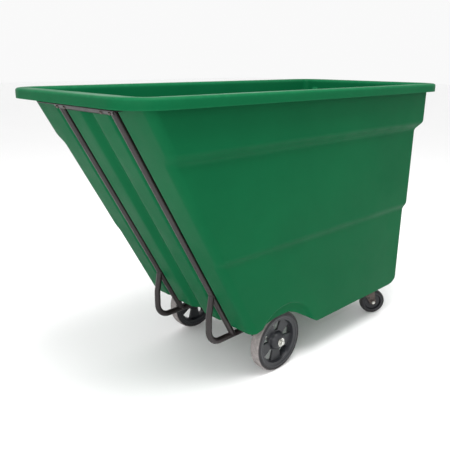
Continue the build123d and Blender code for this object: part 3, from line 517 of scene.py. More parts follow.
@dataclass
class Tub:
    """The moulded tub: body, steps, chute channels, flutes, notch, deck and skirt in one skin."""

    half_length: float = 0.880
    half_width: float = 0.420
    rim_top: float = 1.170
    rim_foot: float = 1.134
    rim_corner: float = 0.130
    deck_outer_bend: float = 0.0042
    deck_inner_bend: float = 0.0075
    wall: float = 0.006
    body_half: float = 0.375
    body_rear: float = 0.815
    body_corner: float = 0.035
    rear_start: float = -0.780
    draft: float = 0.0085
    chute_foot_x: float = 0.184
    chute_rise: float = math.tan(math.radians(28.5))
    steps: tuple[Triple, ...] = ((0.990, 0.957, 0.027), (0.588, 0.565, 0.0115))
    step_round: float = 0.0085
    floor_z: float = 0.168
    toe_z: float = 0.240
    notch: tuple[tuple[float, float], ...] = ((-0.092, 0.168), (0.045, 0.251), (0.088, 0.269), (0.172, 0.269))
    heel: float = 0.085
    tube_y: float = 0.170
    tube_sink: float = 0.007
    channel_depth: float = 0.0203
    channel_half: float = 0.0142
    gutter_depth: float = 0.019
    gutter_half: float = 0.041
    flute_depth: float = 0.011
    flute_ys: tuple[float, ...] = (-0.300, -0.170, 0.0, 0.170, 0.300)
    rail_z: float = 0.174
    wheel_x: float = 0.115
    wheel_z: float = 0.130
    arch_radius: float = 0.182
    arch_skin: float = 0.316
    dense_x: tuple[float, float] = (-0.100, 0.250)
    firm_y: float = 0.215
    end_y: float = 0.340
    floor_channels_to: float = 0.03

    def lean(self, z: float) -> float:
        """Give how far the walls have moved in at a height, with the steps' edges rounded.

        Args:
            z: The height.

        Returns:
            The inset from the wall's line at the rim.
        """
        total = 0.0
        taps = (-1.0, -0.6, -0.2, 0.2, 0.6, 1.0)
        for tap in taps:
            height = z + tap * self.step_round
            inset = self.draft * (self.rim_top - height)
            for top, foot, depth in self.steps:
                inset += depth * min(max((top - height) / (top - foot), 0.0), 1.0)
            total += inset
        return total / len(taps)

    def front_x(self, z: float) -> float:
        """Give the chute's X at a height."""
        return self.chute_foot_x + self.chute_rise * z

    def floor_height(self, x: float) -> float:
        """Give the height of the tub's underside along its length.

        Args:
            x: The place along the truck.

        Returns:
            The height, with the heel at the rear and the notch over the axle.
        """
        rear = self.lean(self.floor_z + 0.082) - self.body_rear
        from_rear = x - rear
        if from_rear < self.heel:
            run = self.heel - max(from_rear, 0.0)
            return self.floor_z + self.heel - math.sqrt(max(self.heel ** 2 - run ** 2, 0.0))
        toe_x = self.front_x(self.toe_z) - 0.012
        line = self.notch + ((toe_x, self.toe_z),)
        if x <= line[0][0]:
            return self.floor_z
        for (x0, z0), (x1, z1) in zip(line, line[1:]):
            if x <= x1:
                return z0 + (z1 - z0) * (x - x0) / (x1 - x0)
        return self.toe_z

    def soft_floor(self, x: float) -> float:
        """Average the underside's height over a short run, so that its corners are rounded."""
        if x < self.heel - self.body_rear + 0.06:
            return self.floor_height(x)
        taps = (-0.009, -0.0045, 0.0, 0.0045, 0.009)
        return sum(self.floor_height(x + tap) for tap in taps) / len(taps)

    def soft_clip(self, distance: float, depth: float) -> float:
        """Give a channel's depth at a distance outside its flat bottom, with eased corners.

        Args:
            distance: Distance beyond the flat bottom.
            depth: Full depth.

        Returns:
            The depth there.
        """
        taps = (-0.004, -0.002, 0.0, 0.002, 0.004)
        return sum(min(max(depth - max(distance + tap, 0.0), 0.0), depth) for tap in taps) / len(taps)

    def chute_sink(self, y: float, z: float) -> float:
        """Give how deep the chute's channels and gutter are at a spot.

        Args:
            y: Across the truck.
            z: Height.

        Returns:
            The depth below the chute's plane.
        """
        channel = self.soft_clip(abs(abs(y) - self.tube_y) - self.channel_half, self.channel_depth)
        slant = self.gutter_depth / (self.gutter_half - 0.004)
        gutter = self.soft_clip((abs(y) - 0.004) * slant, self.gutter_depth)
        fade = 1.0 - smooth((z - 1.139) / 0.018)
        return max(channel, gutter) * fade

    def flute_sink(self, y: float, z: float) -> float:
        """Give how deep the rear wall's flutes are at a spot.

        Args:
            y: Across the truck.
            z: Height.

        Returns:
            The depth into the wall.
        """
        fade = smooth((z - 0.998) / 0.014) * (1.0 - smooth((z - 1.114) / 0.014))
        nearest = min(abs(y - centre) for centre in self.flute_ys)
        return self.soft_clip((nearest - 0.010) * 1.1, self.flute_depth) * fade

    def columns(self) -> list[Column]:
        """Lay out the skin's upright lines round the plan, starting in the rear right corner.

        Returns:
            The columns, anticlockwise from above.
        """
        low, high = self.dense_x
        rear_run = [self.rear_start, -0.777, -0.773, -0.768, -0.760, -0.750, -0.738, -0.722, -0.695]
        rear_run += [-0.66 + k * (low + 0.66) / 14 for k in range(14)]
        dense = [low + k * (high - low) / 40 for k in range(41)]
        side = [("x", x) for x in rear_run + dense] + [("t", k / 12) for k in range(1, 13)]
        half = sorted({0.0, 0.003, 0.006, 0.012, 0.020, 0.029, 0.036, 0.040, 0.044, 0.052, 0.075, 0.105,
                       0.122, 0.130, 0.134, 0.138, 0.145, 0.152, 0.156, 0.160, 0.170, 0.180, 0.184, 0.188,
                       0.195, 0.202, 0.206, 0.210, 0.215, 0.240, 0.262, 0.274, 0.279, 0.283, 0.289, 0.295,
                       0.300, 0.305, 0.311, 0.317, 0.321, 0.326, 0.333, 0.340})
        ends = [-y for y in half[:0:-1]] + half
        arc = 6
        out: list[Column] = []
        corner = [(math.radians(45.0) * k / arc) for k in range(arc)]
        quarter = math.radians(45.0)
        out += [Column("corner", -1, -1, math.pi + quarter + a) for a in corner]
        out += [Column("side_" + kind, 0, -1, value) for kind, value in side]
        out += [Column("corner", 1, -1, 1.5 * math.pi + a) for a in
                (quarter * k / arc for k in range(1, 2 * arc))]
        out += [Column("end", 1, 0, y) for y in ends]
        out += [Column("corner", 1, 1, quarter * k / arc) for k in range(1, 2 * arc)]
        out += [Column("side_" + kind, 0, 1, value) for kind, value in reversed(side)]
        out += [Column("corner", -1, 1, math.pi / 2 + quarter * k / arc) for k in range(1, 2 * arc)]
        out += [Column("end", -1, 0, y) for y in reversed(ends)]
        out += [Column("corner", -1, -1, math.pi + quarter * k / arc) for k in range(1, arc)]
        return out

    def spot(self, column: Column, z: float) -> tuple[Vector, Vector]:
        """Place a column's point at a height.

        Args:
            column: Which column.
            z: The height.

        Returns:
            The point on the outer skin and the outward direction in plan.
        """
        inset = self.lean(z)
        half = self.body_half - inset
        rear = inset - self.body_rear
        front = self.front_x(z)
        r = self.body_corner
        if column.kind == "corner":
            cx = front - r if column.sign_x > 0 else rear + r
            away = Vector((math.cos(column.value), math.sin(column.value), 0.0))
            return Vector((cx, column.sign_y * (half - r), z)) + r * away, away
        if column.kind == "end":
            y = column.value
            if abs(y) > self.firm_y:
                reach = (half - r - self.firm_y) / (self.end_y - self.firm_y)
                y = math.copysign(self.firm_y + (abs(y) - self.firm_y) * reach, y)
            away = Vector((column.sign_x, 0.0, 0.0))
            if column.sign_x > 0:
                sink = self.chute_sink(y, z) * math.sqrt(1 + self.chute_rise ** 2)
                return Vector((front - sink, y, z)), away
            return Vector((rear + self.flute_sink(y, z), y, z)), away
        away = Vector((0.0, column.sign_y, 0.0))
        if column.kind == "side_x":
            x = column.value
            if x < self.dense_x[0]:
                first = self.dense_x[0]
                x = first + (x - first) * (rear + r - first) / (self.rear_start - first)
        else:
            x = self.dense_x[1] + column.value * (front - r - self.dense_x[1])
        away_from_axle = math.hypot(x - self.wheel_x, z - self.wheel_z)
        dish = max(half - self.arch_skin, 0.0) * smooth((self.arch_radius + 0.006 - away_from_axle) / 0.014)
        return Vector((x, column.sign_y * (half - dish), z)), away

    def rim_spot(self, column: Column, inset: float) -> Vector:
        """Place a column's point on the rim's plan.

        Args:
            column: Which column.
            inset: How far inside the rim's outer face.

        Returns:
            The point, at height 0.
        """
        r = self.rim_corner
        cx, cy = self.half_length - r, self.half_width - r
        if column.kind == "corner":
            away = Vector((math.cos(column.value), math.sin(column.value), 0.0))
            return Vector((column.sign_x * cx, column.sign_y * cy, 0.0)) + (r - inset) * away
        if column.kind == "end":
            return Vector((column.sign_x * (self.half_length - inset), column.value / self.end_y * cy, 0.0))
        top, _ = self.spot(column, self.rim_top)
        rear, front = self.rear_start, self.front_x(self.rim_top) - self.body_corner
        x = -cx + 2 * cx * (top.x - rear) / (front - rear)
        return Vector((x, column.sign_y * (self.half_width - inset), 0.0))

    def heights(self) -> list[float]:
        """List the heights of the wall's level rows, from just above the notch to under the deck."""
        rows = [0.322, 0.345, 0.375, 0.41, 0.45, 0.49, 0.53, 0.552]
        rows += [0.5555 + 0.004 * k for k in range(12)]
        rows += [0.606, 0.63, 0.67, 0.72, 0.77, 0.82, 0.87, 0.91, 0.935]
        rows += [0.945 + 0.0035 * k for k in range(16)]
        rows += [1.001, 1.005, 1.009, 1.013, 1.03, 1.055, 1.08, 1.10, 1.112, 1.117, 1.122, 1.127, 1.132]
        rows += [1.139, 1.145, 1.151]
        return rows

    def build(self, finish: bpy.types.Material) -> bpy.types.Object:
        """Make the tub's skin, thicken it and dress it.

        Args:
            finish: The tub's material.

        Returns:
            The tub.
        """
        skin = bmesh.new()
        columns = self.columns()
        low_top, deck_z = self.heights()[0], self.rim_top - self.wall
        feet: list[float] = []
        for column in columns:
            z = self.toe_z
            for _ in range(30):
                x = self.spot(column, z)[0].x
                z = 0.5 * (z + self.soft_floor(x if column.kind != "end" or column.sign_x > 0
                                               else self.lean(0.25) - self.body_rear))
            feet.append(z)
        rows: list[list[bmesh.types.BMVert]] = []
        low_rows = 17
        for k in range(low_rows):
            t = k / low_rows
            rows.append([skin.verts.new(self.spot(c, foot + (low_top - foot) * t)[0])
                         for c, foot in zip(columns, feet)])
        for z in self.heights():
            rows.append([skin.verts.new(self.spot(c, z)[0]) for c in columns])
        bend = self.deck_inner_bend
        for k in range(5):
            a = math.radians(90.0) * k / 4
            ring = []
            for column in columns:
                point, away = self.spot(column, deck_z - bend + bend * math.sin(a))
                ring.append(skin.verts.new(point + away * bend * (1 - math.cos(a))))
            rows.append(ring)
        inner = [v.co.copy() for v in rows[-1]]
        edge = self.wall + self.deck_outer_bend
        for t in (0.3, 0.7, 1.0):
            ring = []
            for column, start in zip(columns, inner):
                end = self.rim_spot(column, edge)
                end.z = deck_z
                ring.append(skin.verts.new(start.lerp(end, t)))
            rows.append(ring)
        for k in range(1, 5):
            a = math.radians(90.0) * k / 4
            ring = []
            for column in columns:
                point = self.rim_spot(column, self.wall + self.deck_outer_bend * (1 - math.sin(a)))
                point.z = deck_z - self.deck_outer_bend * (1 - math.cos(a))
                ring.append(skin.verts.new(point))
            rows.append(ring)
        for z in (1.150, 1.141, 1.1355, self.rim_foot + 0.0006):
            ring = []
            for column in columns:
                point = self.rim_spot(column, self.wall)
                point.z = z
                ring.append(skin.verts.new(point))
            rows.append(ring)
        count = len(columns)
        for low, high in zip(rows, rows[1:]):
            for k in range(count):
                n = (k + 1) % count
                skin.faces.new((low[k], low[n], high[n], high[k]))
        self.close_floor(skin, rows[0], columns)
        piece = new_piece("tub_skin", skin, finish)
        bevel = piece.modifiers.new("bottom edge", "BEVEL")
        bevel.limit_method = "WEIGHT"
        bevel.width = 0.012
        bevel.segments = 4
        bevel.use_clamp_overlap = True
        shell = piece.modifiers.new("wall", "SOLIDIFY")
        shell.thickness = self.wall
        shell.offset = -1.0
        shell.use_even_offset = True
        shell.thickness_clamp = 0.0
        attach(piece, "frame")
        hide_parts("tub")
        LOG.info("tub: %d columns, %d rows", count, len(rows))
        return piece

    def close_floor(self, skin: bmesh.types.BMesh, foot: list[bmesh.types.BMVert],
                    columns: list[Column]) -> None:
        """Fill the underside between the walls' feet.

        Args:
            skin: The tub's mesh.
            foot: The lowest row.
            columns: The columns it stands on.
        """
        ends = [k for k, c in enumerate(columns) if c.kind == "corner" and
                abs(math.degrees(c.value) % 90 - 45) < 1e-6]
        rear_right, front_right, front_left, rear_left = ends
        count = len(foot)
        right = foot[rear_right:front_right + 1]
        front = foot[front_right:front_left + 1]
        left = foot[front_left:rear_left + 1][::-1]
        rear = [foot[k % count] for k in range(rear_left, count + 1)][::-1]
        nx, ny = len(right) - 1, len(front) - 1
        x0, x1 = right[0].co.x, right[-1].co.x
        y0, y1 = rear[0].co.y, rear[-1].co.y
        grid: list[list[bmesh.types.BMVert]] = []
        channel_top = self.rail_z + self.channel_depth - self.tube_sink
        for i in range(nx + 1):
            line = []
            u = (right[i].co.x - x0) / (x1 - x0)
            for j in range(ny + 1):
                if i in (0, nx):
                    line.append((rear if i == 0 else front)[j])
                    continue
                if j in (0, ny):
                    line.append((right if j == 0 else left)[i])
                    continue
                v = (rear[j].co.y - y0) / (y1 - y0)
                point = ((1 - u) * rear[j].co + u * front[j].co + (1 - v) * right[i].co + v * left[i].co
                         - (1 - u) * (1 - v) * rear[0].co - u * (1 - v) * front[0].co
                         - (1 - u) * v * rear[-1].co - u * v * front[-1].co)
                side = abs(abs(point.y) - self.tube_y) - self.channel_half
                channel = channel_top - self.channel_depth + self.soft_clip(side, self.channel_depth)
                point.z = self.soft_floor(point.x)
                if point.x < self.floor_channels_to and side < self.channel_depth + 0.004:
                    point.z = max(point.z, channel)
                line.append(skin.verts.new(point))
            grid.append(line)
        for i in range(nx):
            for j in range(ny):
                skin.faces.new((grid[i][j], grid[i][j + 1], grid[i + 1][j + 1], grid[i + 1][j]))
        weights = skin.edges.layers.float.new("bevel_weight_edge")
        foot_set = set(foot)
        for edge in skin.edges:
            if edge.verts[0] in foot_set and edge.verts[1] in foot_set:
                edge[weights] = 1.0


# ---------------------------------------------------------------- running gear and fittings
@dataclass
class EdgeRound:
    """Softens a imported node's edges with modifiers, which leave its own mesh as it is."""

    width: float = 0.0009
    segments: int = 3
    angle: float = 28.0

    def dress(self, node: str, finish: bpy.types.Material) -> None:
        """Round a node's edges and give it its finish.

        Args:
            node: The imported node's name.
            finish: Its material.
        """
        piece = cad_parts[node]
        piece.data.materials.clear()
        piece.data.materials.append(finish)
        weld = piece.modifiers.new("weld", "WELD")
        weld.merge_threshold = 0.00002
        if self.width > 0.0:
            bevel = piece.modifiers.new("edges", "BEVEL")
            bevel.width = self.width
            bevel.segments = self.segments
            bevel.limit_method = "ANGLE"
            bevel.angle_limit = math.radians(self.angle)
            bevel.use_clamp_overlap = False
            bevel.miter_outer = "MITER_ARC"
        even = piece.modifiers.new("shading", "WEIGHTED_NORMAL")
        even.keep_sharp = False
        LOG.info("dressed %s", node)


@dataclass
class MainWheels:
    """The two main wheels: moulded centres, tread bands and the axle's end fittings."""

    axle_x: float = 0.115
    axle_z: float = 0.130
    tread_y: float = 0.269
    half_tread: float = 0.024
    outer: float = 0.130
    band: float = 0.015
    washer_middles: tuple[float, float] = (0.30285, 0.23915)
    pin_y: float = 0.309
    pin_wire: float = 0.00145

    def place(self, side: Side, y: float) -> Matrix:
        """Give the matrix that puts local Z along the axle, outwards, at a distance from the middle."""
        turn = Matrix.Rotation(math.radians(-90.0 * side.value), 4, "X")
        return Matrix.Translation((self.axle_x, side.value * y, self.axle_z)) @ turn

    def tyre(self, side: Side, finish: bpy.types.Material) -> None:
        """Make one tread band, with rounded shoulders, wall ribs and a mould line.

        Args:
            side: Which side.
            finish: The rubber.
        """
        h, r, inner = self.half_tread - 0.0002, self.outer, self.outer - self.band
        outline = both_halves([
            (inner, h, 0.0008), (inner + 0.0035, h, 0.0008), (inner + 0.0042, h - 0.0011, 0.0006),
            (inner + 0.0062, h - 0.0011, 0.0006), (inner + 0.0070, h, 0.0006),
            (r - 0.0050, h - 0.0002, 0.0022), (r - 0.0012, h - 0.0042, 0.0020),
            (r, h - 0.0100, 0.004), (r, 0.0016, 0.0006), (r - 0.0008, 0.0010, 0.0004)])
        builder = bmesh.new()
        lathe(builder, outline, self.place(side, self.tread_y), 128)
        seal(builder)
        piece = new_piece(f"tread_band_{side.word}", builder, finish)
        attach(piece, f"main_wheel_{side.word}")
        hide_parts(f"tyre_{side.word}")
        LOG.info("tread band %s", side.word)

    def washer(self, side: Side, finish: bpy.types.Material) -> None:
        """Make one side's two axle washers, with rolled edges.

        Args:
            side: Which side.
            finish: The plated steel.
        """
        builder = bmesh.new()
        for middle in self.washer_middles:
            outline = rounded_outline([(0.00955, -0.00145, 0.0003), (0.0188, -0.00145, 0.0009),
                                       (0.0188, 0.00145, 0.0009), (0.00955, 0.00145, 0.0003)])
            lathe(builder, outline, self.place(side, middle), 64)
        seal(builder)
        piece = new_piece(f"axle_washer_pair_{side.word}", builder, finish)
        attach(piece, "frame")
        if side is Side.LEFT:
            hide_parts("axle_washers")
        LOG.info("axle washers %s", side.word)

    def cotter(self, side: Side, finish: bpy.types.Material) -> None:
        """Make one cotter pin: an eye above the axle and two legs opened round it.

        Args:
            side: Which side.
            finish: The plated steel.
        """
        builder = bmesh.new()
        y = self.pin_y * side.value
        for leg in (-1.0, 1.0):
            line = []
            for k in range(11):
                a = math.radians(90.0 - leg * (158.0 * k / 10))
                line.append(Vector((self.axle_x + 0.0044 * math.cos(a), y,
                                    self.axle_z + 0.0172 + 0.0044 * math.sin(a))))
            for drop in (0.0105, 0.004, -0.004, -0.0100):
                line.append(Vector((self.axle_x + leg * 0.0013, y, self.axle_z + drop)))
            for reach, drop in ((0.0030, -0.0122), (0.0062, -0.0121), (0.0090, -0.0102), (0.0110, -0.0075)):
                line.append(Vector((self.axle_x + leg * reach, y, self.axle_z + drop)))
            tube_along(builder, line, self.pin_wire)
        seal(builder)
        piece = new_piece(f"split_pin_{side.word}", builder, finish)
        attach(piece, "frame")
        if side is Side.LEFT:
            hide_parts("cotter_pins")
        LOG.info("split pin %s", side.word)

    def dress(self, finishes: dict[str, bpy.types.Material]) -> None:
        """Build and dress both wheels.

        Args:
            finishes: The materials by slot.
        """
        for side in Side:
            EdgeRound(0.0016, 3).dress(f"wheel_{side.word}", finishes["wheel_plastic"])
            EdgeRound(0.0004, 2).dress(f"bushes_{side.word}", finishes["bush_nylon"])
            self.tyre(side, finishes["tread_rubber"])
            self.washer(side, finishes["zinc_steel"])
            self.cotter(side, finishes["zinc_steel"])


@dataclass
class Casters:
    """The two swivel casters."""

    pin_x: float = -0.630
    pin_y: float = 0.232
    lead: float = 0.035
    heading: float = math.radians(-38.0)
    axle_z: float = 0.0635
    outer: float = 0.0635
    band: float = 0.013
    half_tread: float = 0.016

    def axle_spot(self) -> tuple[float, float]:
        """Give the X and the distance from the middle of a caster's axle."""
        back, out = self.lead * math.cos(self.heading), -self.lead * math.sin(self.heading)
        return self.pin_x - back, self.pin_y + out

    def place(self, side: Side) -> Matrix:
        """Give the matrix that puts local Z along a caster's axle, outwards."""
        swing = Matrix.Rotation(side.value * self.heading, 4, "Z")
        turn = Matrix.Rotation(math.radians(-90.0 * side.value), 4, "X")
        pin = Matrix.Translation((self.pin_x, side.value * self.pin_y, self.axle_z))
        return pin @ swing @ Matrix.Translation((-self.lead, 0.0, 0.0)) @ turn

    def tyre(self, side: Side, finish: bpy.types.Material) -> None:
        """Make one caster's tread band with a crowned face.

        Args:
            side: Which side.
            finish: The rubber.
        """
        h, r, inner = self.half_tread - 0.0002, self.outer, self.outer - self.band
        outline = both_halves([
            (inner, h, 0.0006), (inner + 0.003, h, 0.0006), (inner + 0.0036, h - 0.0008, 0.0004),
            (inner + 0.0050, h - 0.0008, 0.0004), (inner + 0.0056, h, 0.0005),
            (r - 0.0052, h - 0.0003, 0.0030), (r - 0.0010, h - 0.0050, 0.0030), (r, 0.0035, 0.004)])
        builder = bmesh.new()
        lathe(builder, outline, self.place(side), 96)
        seal(builder)
        piece = new_piece(f"caster_band_{side.word}", builder, finish)
        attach(piece, f"caster_roll_{side.word}")
        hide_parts(f"caster_tyre_{side.word}")
        LOG.info("caster band %s", side.word)

    def dress(self, finishes: dict[str, bpy.types.Material]) -> None:
        """Build and dress both casters.

        Args:
            finishes: The materials by slot.
        """
        for side in Side:
            word = side.word
            EdgeRound(0.0009, 2).dress(f"caster_plate_{word}", finishes["caster_steel"])
            EdgeRound(0.0009, 2).dress(f"fork_{word}", finishes["caster_steel"])
            EdgeRound(0.0008, 2).dress(f"king_pin_{word}", finishes["zinc_steel"])
            EdgeRound(0.0, 1).dress(f"caster_balls_{word}", finishes["zinc_steel"])
            EdgeRound(0.0012, 3).dress(f"caster_wheel_{word}", finishes["wheel_plastic"])
            EdgeRound(0.0004, 2).dress(f"caster_sleeve_{word}", finishes["zinc_steel"])
            EdgeRound(0.0007, 2).dress(f"caster_bolt_{word}", finishes["zinc_steel"])
            EdgeRound(0.0007, 2).dress(f"caster_nut_{word}", finishes["zinc_steel"])
            self.tyre(side, finishes["caster_rubber"])


@dataclass
class TubeFrame:
    """The welded tube frame, its plates and hangers, its weld beads and its bolts."""

    tube_radius: float = 0.0127
    tube_y: float = 0.170
    rail_z: float = 0.174
    loop_join: tuple[float, float] = (0.3856, 0.386)
    slope: float = math.radians(28.5)
    rail_cross_x: float = 0.2705
    cross_x: float = 0.030
    plate_top: float = 0.1613
    hanger_x: float = 0.115
    hanger_half: float = 0.031
    cross_plates: tuple[tuple[float, float], ...] = ((-0.630, 0.056), (-0.150, 0.030))
    toe_edges: tuple[float, float] = (-0.0035, 0.0035)
    chute_foot_x: float = 0.184
    bar_foot_z: float = 1.106
    bar_bolt_rise: float = 0.009
    bar_skin: float = 0.0097

    def bead(self, builder: bmesh.types.BMesh, line: list[Vector], radius: float) -> None:
        """Add a weld bead that swells and narrows along a line.

        Args:
            builder: The mesh to add to.
            line: The joint's line.
            radius: The bead's mean radius.
        """
        dense: list[Vector] = []
        for start, end in zip(line, line[1:]):
            parts = max(2, int((end - start).length / 0.0014))
            dense += [start.lerp(end, k / parts) for k in range(parts)]
        dense.append(line[-1])
        rings = []
        for index, point in enumerate(dense):
            ahead = (dense[min(index + 1, len(dense) - 1)] - dense[max(index - 1, 0)]).normalized()
            side = ahead.orthogonal().normalized()
            up = ahead.cross(side)
            swell = radius * (1.0 + 0.16 * math.sin(index * 1.7) + 0.07 * math.sin(index * 0.53 + 1.0))
            if index in (0, len(dense) - 1):
                swell *= 0.35
            rings.append([builder.verts.new(point + swell * (math.cos(a) * side + math.sin(a) * up))
                          for a in (2.0 * math.pi * k / 8 for k in range(8))])
        for low, high in zip(rings, rings[1:]):
            start = min(range(8), key=lambda s: sum((low[k].co - high[(k + s) % 8].co).length
                                                    for k in range(8)))
            for k in range(8):
                n = (k + 1) % 8
                builder.faces.new((low[k], low[n], high[(n + start) % 8], high[(k + start) % 8]))
        builder.faces.new(rings[0][::-1])
        builder.faces.new(rings[-1])

    def saddle(self, spot: Vector, axis: Vector, other: Vector, reach: float) -> list[Vector]:
        """Trace where one tube meets another of the same size.

        Args:
            spot: Where the axes cross.
            axis: The joining tube's direction, away from the other.
            other: The other tube's direction.
            reach: Share of a turn to trace.

        Returns:
            The joint's line.
        """
        axis, other = axis.normalized(), other.normalized()
        across = axis.cross(other).normalized()
        lift = across.cross(axis).normalized()
        line = []
        for k in range(41):
            a = 2.0 * math.pi * reach * (k / 40 - 0.5)
            rim = self.tube_radius * (math.sin(a) * across + math.cos(a) * lift)
            flat = rim - rim.dot(other) * other
            slide = axis - axis.dot(other) * other
            b, c = flat.dot(slide), flat.dot(flat) - self.tube_radius ** 2
            root = max(b * b - slide.dot(slide) * c, 0.0)
            t = (-b + math.sqrt(root)) / slide.dot(slide)
            line.append(spot + rim + t * axis)
        return line

    def toe_beads(self, builder: bmesh.types.BMesh, y: float, middle: float, half: float) -> None:
        """Run a straight bead along each side of a rail's foot.

        Args:
            builder: The mesh to add to.
            y: Where the rail stands.
            middle: The beads' middle along the truck.
            half: Half their length.
        """
        lift = self.plate_top + 0.0004
        for edge in self.toe_edges:
            ends = [Vector((middle - half, y + edge, lift)), Vector((middle + half, y + edge, lift))]
            self.bead(builder, ends, 0.0014)

    def beads(self, finish: bpy.types.Material) -> None:
        """Make the weld beads at the tube joints, plates and hangers.

        Args:
            finish: The frame's paint.
        """
        chute = Vector((math.sin(self.slope), 0.0, math.cos(self.slope)))
        forward, across = Vector((1.0, 0.0, 0.0)), Vector((0.0, 1.0, 0.0))
        for side in Side:
            y = side.value * self.tube_y
            builder = bmesh.new()
            join = Vector((self.loop_join[0], y, self.loop_join[1]))
            stub = Vector((0.0164, 0.0, -0.092))
            self.bead(builder, self.saddle(join, stub, chute, 0.62), 0.0019)
            foot = Vector((self.rail_cross_x, y, self.rail_z))
            self.bead(builder, self.saddle(foot, chute, forward, 0.9), 0.0019)
            cross = Vector((self.cross_x, y, self.rail_z))
            self.bead(builder, self.saddle(cross, -side.value * across, forward, 0.95), 0.0017)
            self.toe_beads(builder, y, self.hanger_x, self.hanger_half - 0.004)
            for middle, half in self.cross_plates:
                self.toe_beads(builder, y, middle, half - 0.003)
            seal(builder)
            piece = new_piece(f"weld_beads_{side.word}", builder, finish)
            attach(piece, "frame")
            LOG.info("weld beads %s", side.word)

    def bar_heads(self, finish: bpy.types.Material) -> None:
        """Make the domed heads and shanks of the bolts through the front bar.

        Args:
            finish: The plated steel.
        """
        low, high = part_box("bar_bolts")
        builder = bmesh.new()
        out = Vector((math.cos(self.slope), 0.0, -math.sin(self.slope)))
        lift = (self.bar_foot_z + self.bar_bolt_rise) / math.cos(self.slope)
        up = Vector((math.sin(self.slope), 0.0, math.cos(self.slope)))
        foot = Vector((self.chute_foot_x, 0.0, 0.0)) + lift * up
        skin = self.bar_skin
        turn = out.to_track_quat("Z", "Y").to_matrix().to_4x4()
        for y, depth in ((0.120, 0.006), (self.tube_y, 0.0261)):
            for side in Side:
                place = Matrix.Translation(foot + Vector((0.0, side.value * y, 0.0)) + out * skin) @ turn
                dome = [(0.0, 0.0040), (0.0022, 0.0038), (0.0041, 0.0031), (0.0055, 0.0019), (0.0062, 0.0008),
                        (0.0064, 0.0), (0.0040, 0.0), (0.0040, -(skin + depth + 0.0085)),
                        (0.0034, -(skin + depth + 0.0095)), (0.0, -(skin + depth + 0.0095))]
                lathe(builder, dome, place, 32, closed=False)
        seal(builder)
        piece = new_piece("bar_bolt_heads", builder, finish)
        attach(piece, "frame")
        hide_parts("bar_bolts")
        LOG.info("bar bolts from %s to %s", tuple(round(v, 3) for v in low), tuple(round(v, 3) for v in high))

    def dress(self, finishes: dict[str, bpy.types.Material]) -> None:
        """Build and dress the frame.

        Args:
            finishes: The materials by slot.
        """
        paint, zinc = finishes["frame_paint"], finishes["zinc_steel"]
        for side in Side:
            for stem, width in (("rail", 0.0005), ("slope_tube", 0.0005), ("hanger", 0.0010)):
                EdgeRound(width, 2).dress(f"{stem}_{side.word}", paint)
        for node, width in (("front_bar", 0.0012), ("rear_plate", 0.0012), ("middle_plate", 0.0012),
                            ("cross_tube", 0.0004)):
            EdgeRound(width, 3).dress(node, paint)
        EdgeRound(0.0008, 3).dress("rail_caps", finishes["wheel_plastic"])
        for node in ("axle", "axle_spacers", "plate_bolts", "plate_nuts", "floor_washers", "floor_bolts",
                     "floor_nuts", "bar_washers", "bar_nuts", "bar_spacers"):
            EdgeRound(0.0005, 2).dress(node, zinc)
        self.beads(paint)
        self.bar_heads(finishes["caster_steel"])


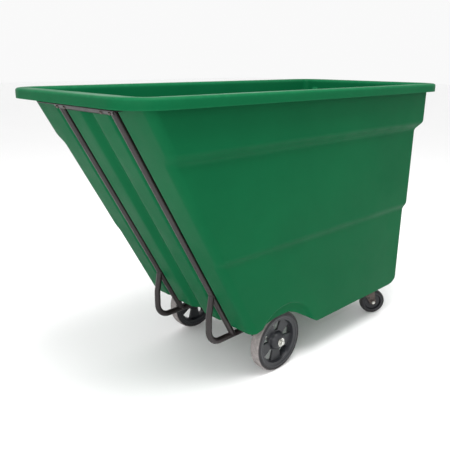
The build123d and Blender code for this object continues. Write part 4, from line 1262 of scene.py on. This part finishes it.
# ---------------------------------------------------------------- studio
@dataclass
class Studio:
    """Pale floor, soft lights and the camera."""

    camera_at: Triple = (1.6834, 1.6382, 1.2669)
    yaw: float = 3.9501584
    pitch: float = 0.2793374
    roll: float = 0.0060755
    lens: float = 43.433
    shift: tuple[float, float] = (-0.01429, -0.01887)

    def floor(self) -> None:
        """Lay the pale floor."""
        board = NodeBoard("pale_floor")
        colour = board.mix(board.noise(0.6, 3.0), (0.95, 0.95, 0.95), (0.97, 0.97, 0.97))
        board.base(colour, board.ramp(board.noise(3.0, 2.0), 0.3, 0.7, 0.75, 0.85))
        builder = bmesh.new()
        bmesh.ops.create_grid(builder, x_segments=24, y_segments=24, size=30.0)
        ground = new_piece("floor", builder, board.material)
        ground.location.z = -0.0005

    def light(self, name: str, at: Triple, aim: Triple, power: float, size: float,
              colour: Colour = (1.0, 1.0, 1.0)) -> None:
        """Add one soft box.

        Args:
            name: The light's name.
            at: Where it stands.
            aim: Where it points.
            power: Watts.
            size: Side of the box.
            colour: Its colour.
        """
        lamp = bpy.data.lights.new(name, "AREA")
        lamp.energy, lamp.size, lamp.color = power, size, colour
        holder = bpy.data.objects.new(name, lamp)
        holder.location = at
        holder.rotation_euler = (Vector(aim) - Vector(at)).to_track_quat("-Z", "Y").to_euler()
        bpy.context.scene.collection.objects.link(holder)

    def world(self) -> None:
        """Set the even pale surroundings."""
        world = bpy.data.worlds.new("surroundings")
        world.use_nodes = True
        back = world.node_tree.nodes["Background"]
        back.inputs["Color"].default_value = (1.0, 1.0, 1.0, 1.0)
        back.inputs["Strength"].default_value = 0.95
        bpy.context.scene.world = world
        bpy.context.scene.view_settings.view_transform = "Standard"

    def camera(self) -> None:
        """Place the camera."""
        ahead = Vector((math.cos(self.yaw) * math.cos(self.pitch), math.sin(self.yaw) * math.cos(self.pitch),
                        -math.sin(self.pitch)))
        right = ahead.cross(Vector((0.0, 0.0, 1.0))).normalized()
        up = right.cross(ahead)
        c, s = math.cos(self.roll), math.sin(self.roll)
        right, up = c * right + s * up, c * up - s * right
        lens = bpy.data.cameras.new("camera")
        lens.lens, lens.sensor_width = self.lens, 36.0
        lens.shift_x, lens.shift_y = self.shift
        lens.clip_end = 100.0
        holder = bpy.data.objects.new("camera", lens)
        turn = Matrix((right, up, -ahead)).transposed().to_4x4()
        holder.matrix_world = Matrix.Translation(self.camera_at) @ turn
        bpy.context.scene.collection.objects.link(holder)
        bpy.context.scene.camera = holder

    def build(self) -> None:
        """Set up the whole studio."""
        self.floor()
        self.world()
        self.light("key", (2.5, 1.9, 1.5), (0.2, 0.0, 0.7), 21.0, 1.3)
        self.light("front", (3.3, 0.5, 1.7), (0.4, 0.0, 0.6), 16.0, 1.4)
        self.light("top", (0.4, 0.9, 3.6), (0.0, -0.2, 1.0), 120.0, 1.8)
        self.light("back", (-2.2, -3.4, 2.6), (0.0, 0.0, 0.7), 12.0, 2.6)
        self.camera()


def finishes() -> dict[str, bpy.types.Material]:
    """Build every finish once.

    Returns:
        The materials by slot, with the casters' own steel beside them.
    """
    wheels, casters = MainWheels(), Casters()
    caster_x, caster_y = casters.axle_spot()
    return {
        "tub_plastic": MouldedPlastic("tub_finish", (0.0028, 0.090, 0.0320), (0.0021, 0.080, 0.0285),
                                      (0.014, 0.140, 0.058), 0.42, wave=0.0016, specular=0.035).material(),
        "wheel_plastic": MouldedPlastic("wheel_finish", (0.0125, 0.0135, 0.017), (0.009, 0.0095, 0.012),
                                        (0.055, 0.057, 0.062), 0.38, 1500.0, 0.00012, 0.0, 0.7).material(),
        "bush_nylon": MouldedPlastic("nylon_finish", (0.62, 0.60, 0.53), (0.55, 0.53, 0.46),
                                     (0.70, 0.69, 0.64), 0.42, 1600.0, 0.0001, 0.0, 0.3).material(),
        "frame_paint": FramePaint().material(),
        "tread_rubber": TreadRubber("tread_finish", (0.020, 0.019, 0.021), (0.290, 0.262, 0.255),
                                    wheels.axle_x, wheels.axle_z, wheels.outer - 0.0045,
                                    wheels.outer - 0.0008).material(),
        "caster_rubber": TreadRubber("caster_tread_finish", (0.020, 0.019, 0.021), (0.075, 0.070, 0.070),
                                     caster_x, casters.axle_z, casters.outer - 0.0030, casters.outer - 0.0003,
                                     caster_y, casters.heading).material(),
        "zinc_steel": PlatedSteel().material(),
        "caster_steel": PlatedSteel("caster_steel_finish", (0.085, 0.068, 0.060), (0.040, 0.032, 0.030),
                                    0.65, 0.36, 0.58).material(),
    }


def main() -> None:
    """Build the whole picture."""
    logging.basicConfig(level=logging.INFO)
    looks = finishes()
    Tub().build(looks["tub_plastic"])
    TubeFrame().dress(looks)
    MainWheels().dress(looks)
    Casters().dress(looks)
    Studio().build()
    bpy.context.view_layer.update()


if __name__ == "__main__":
    main()
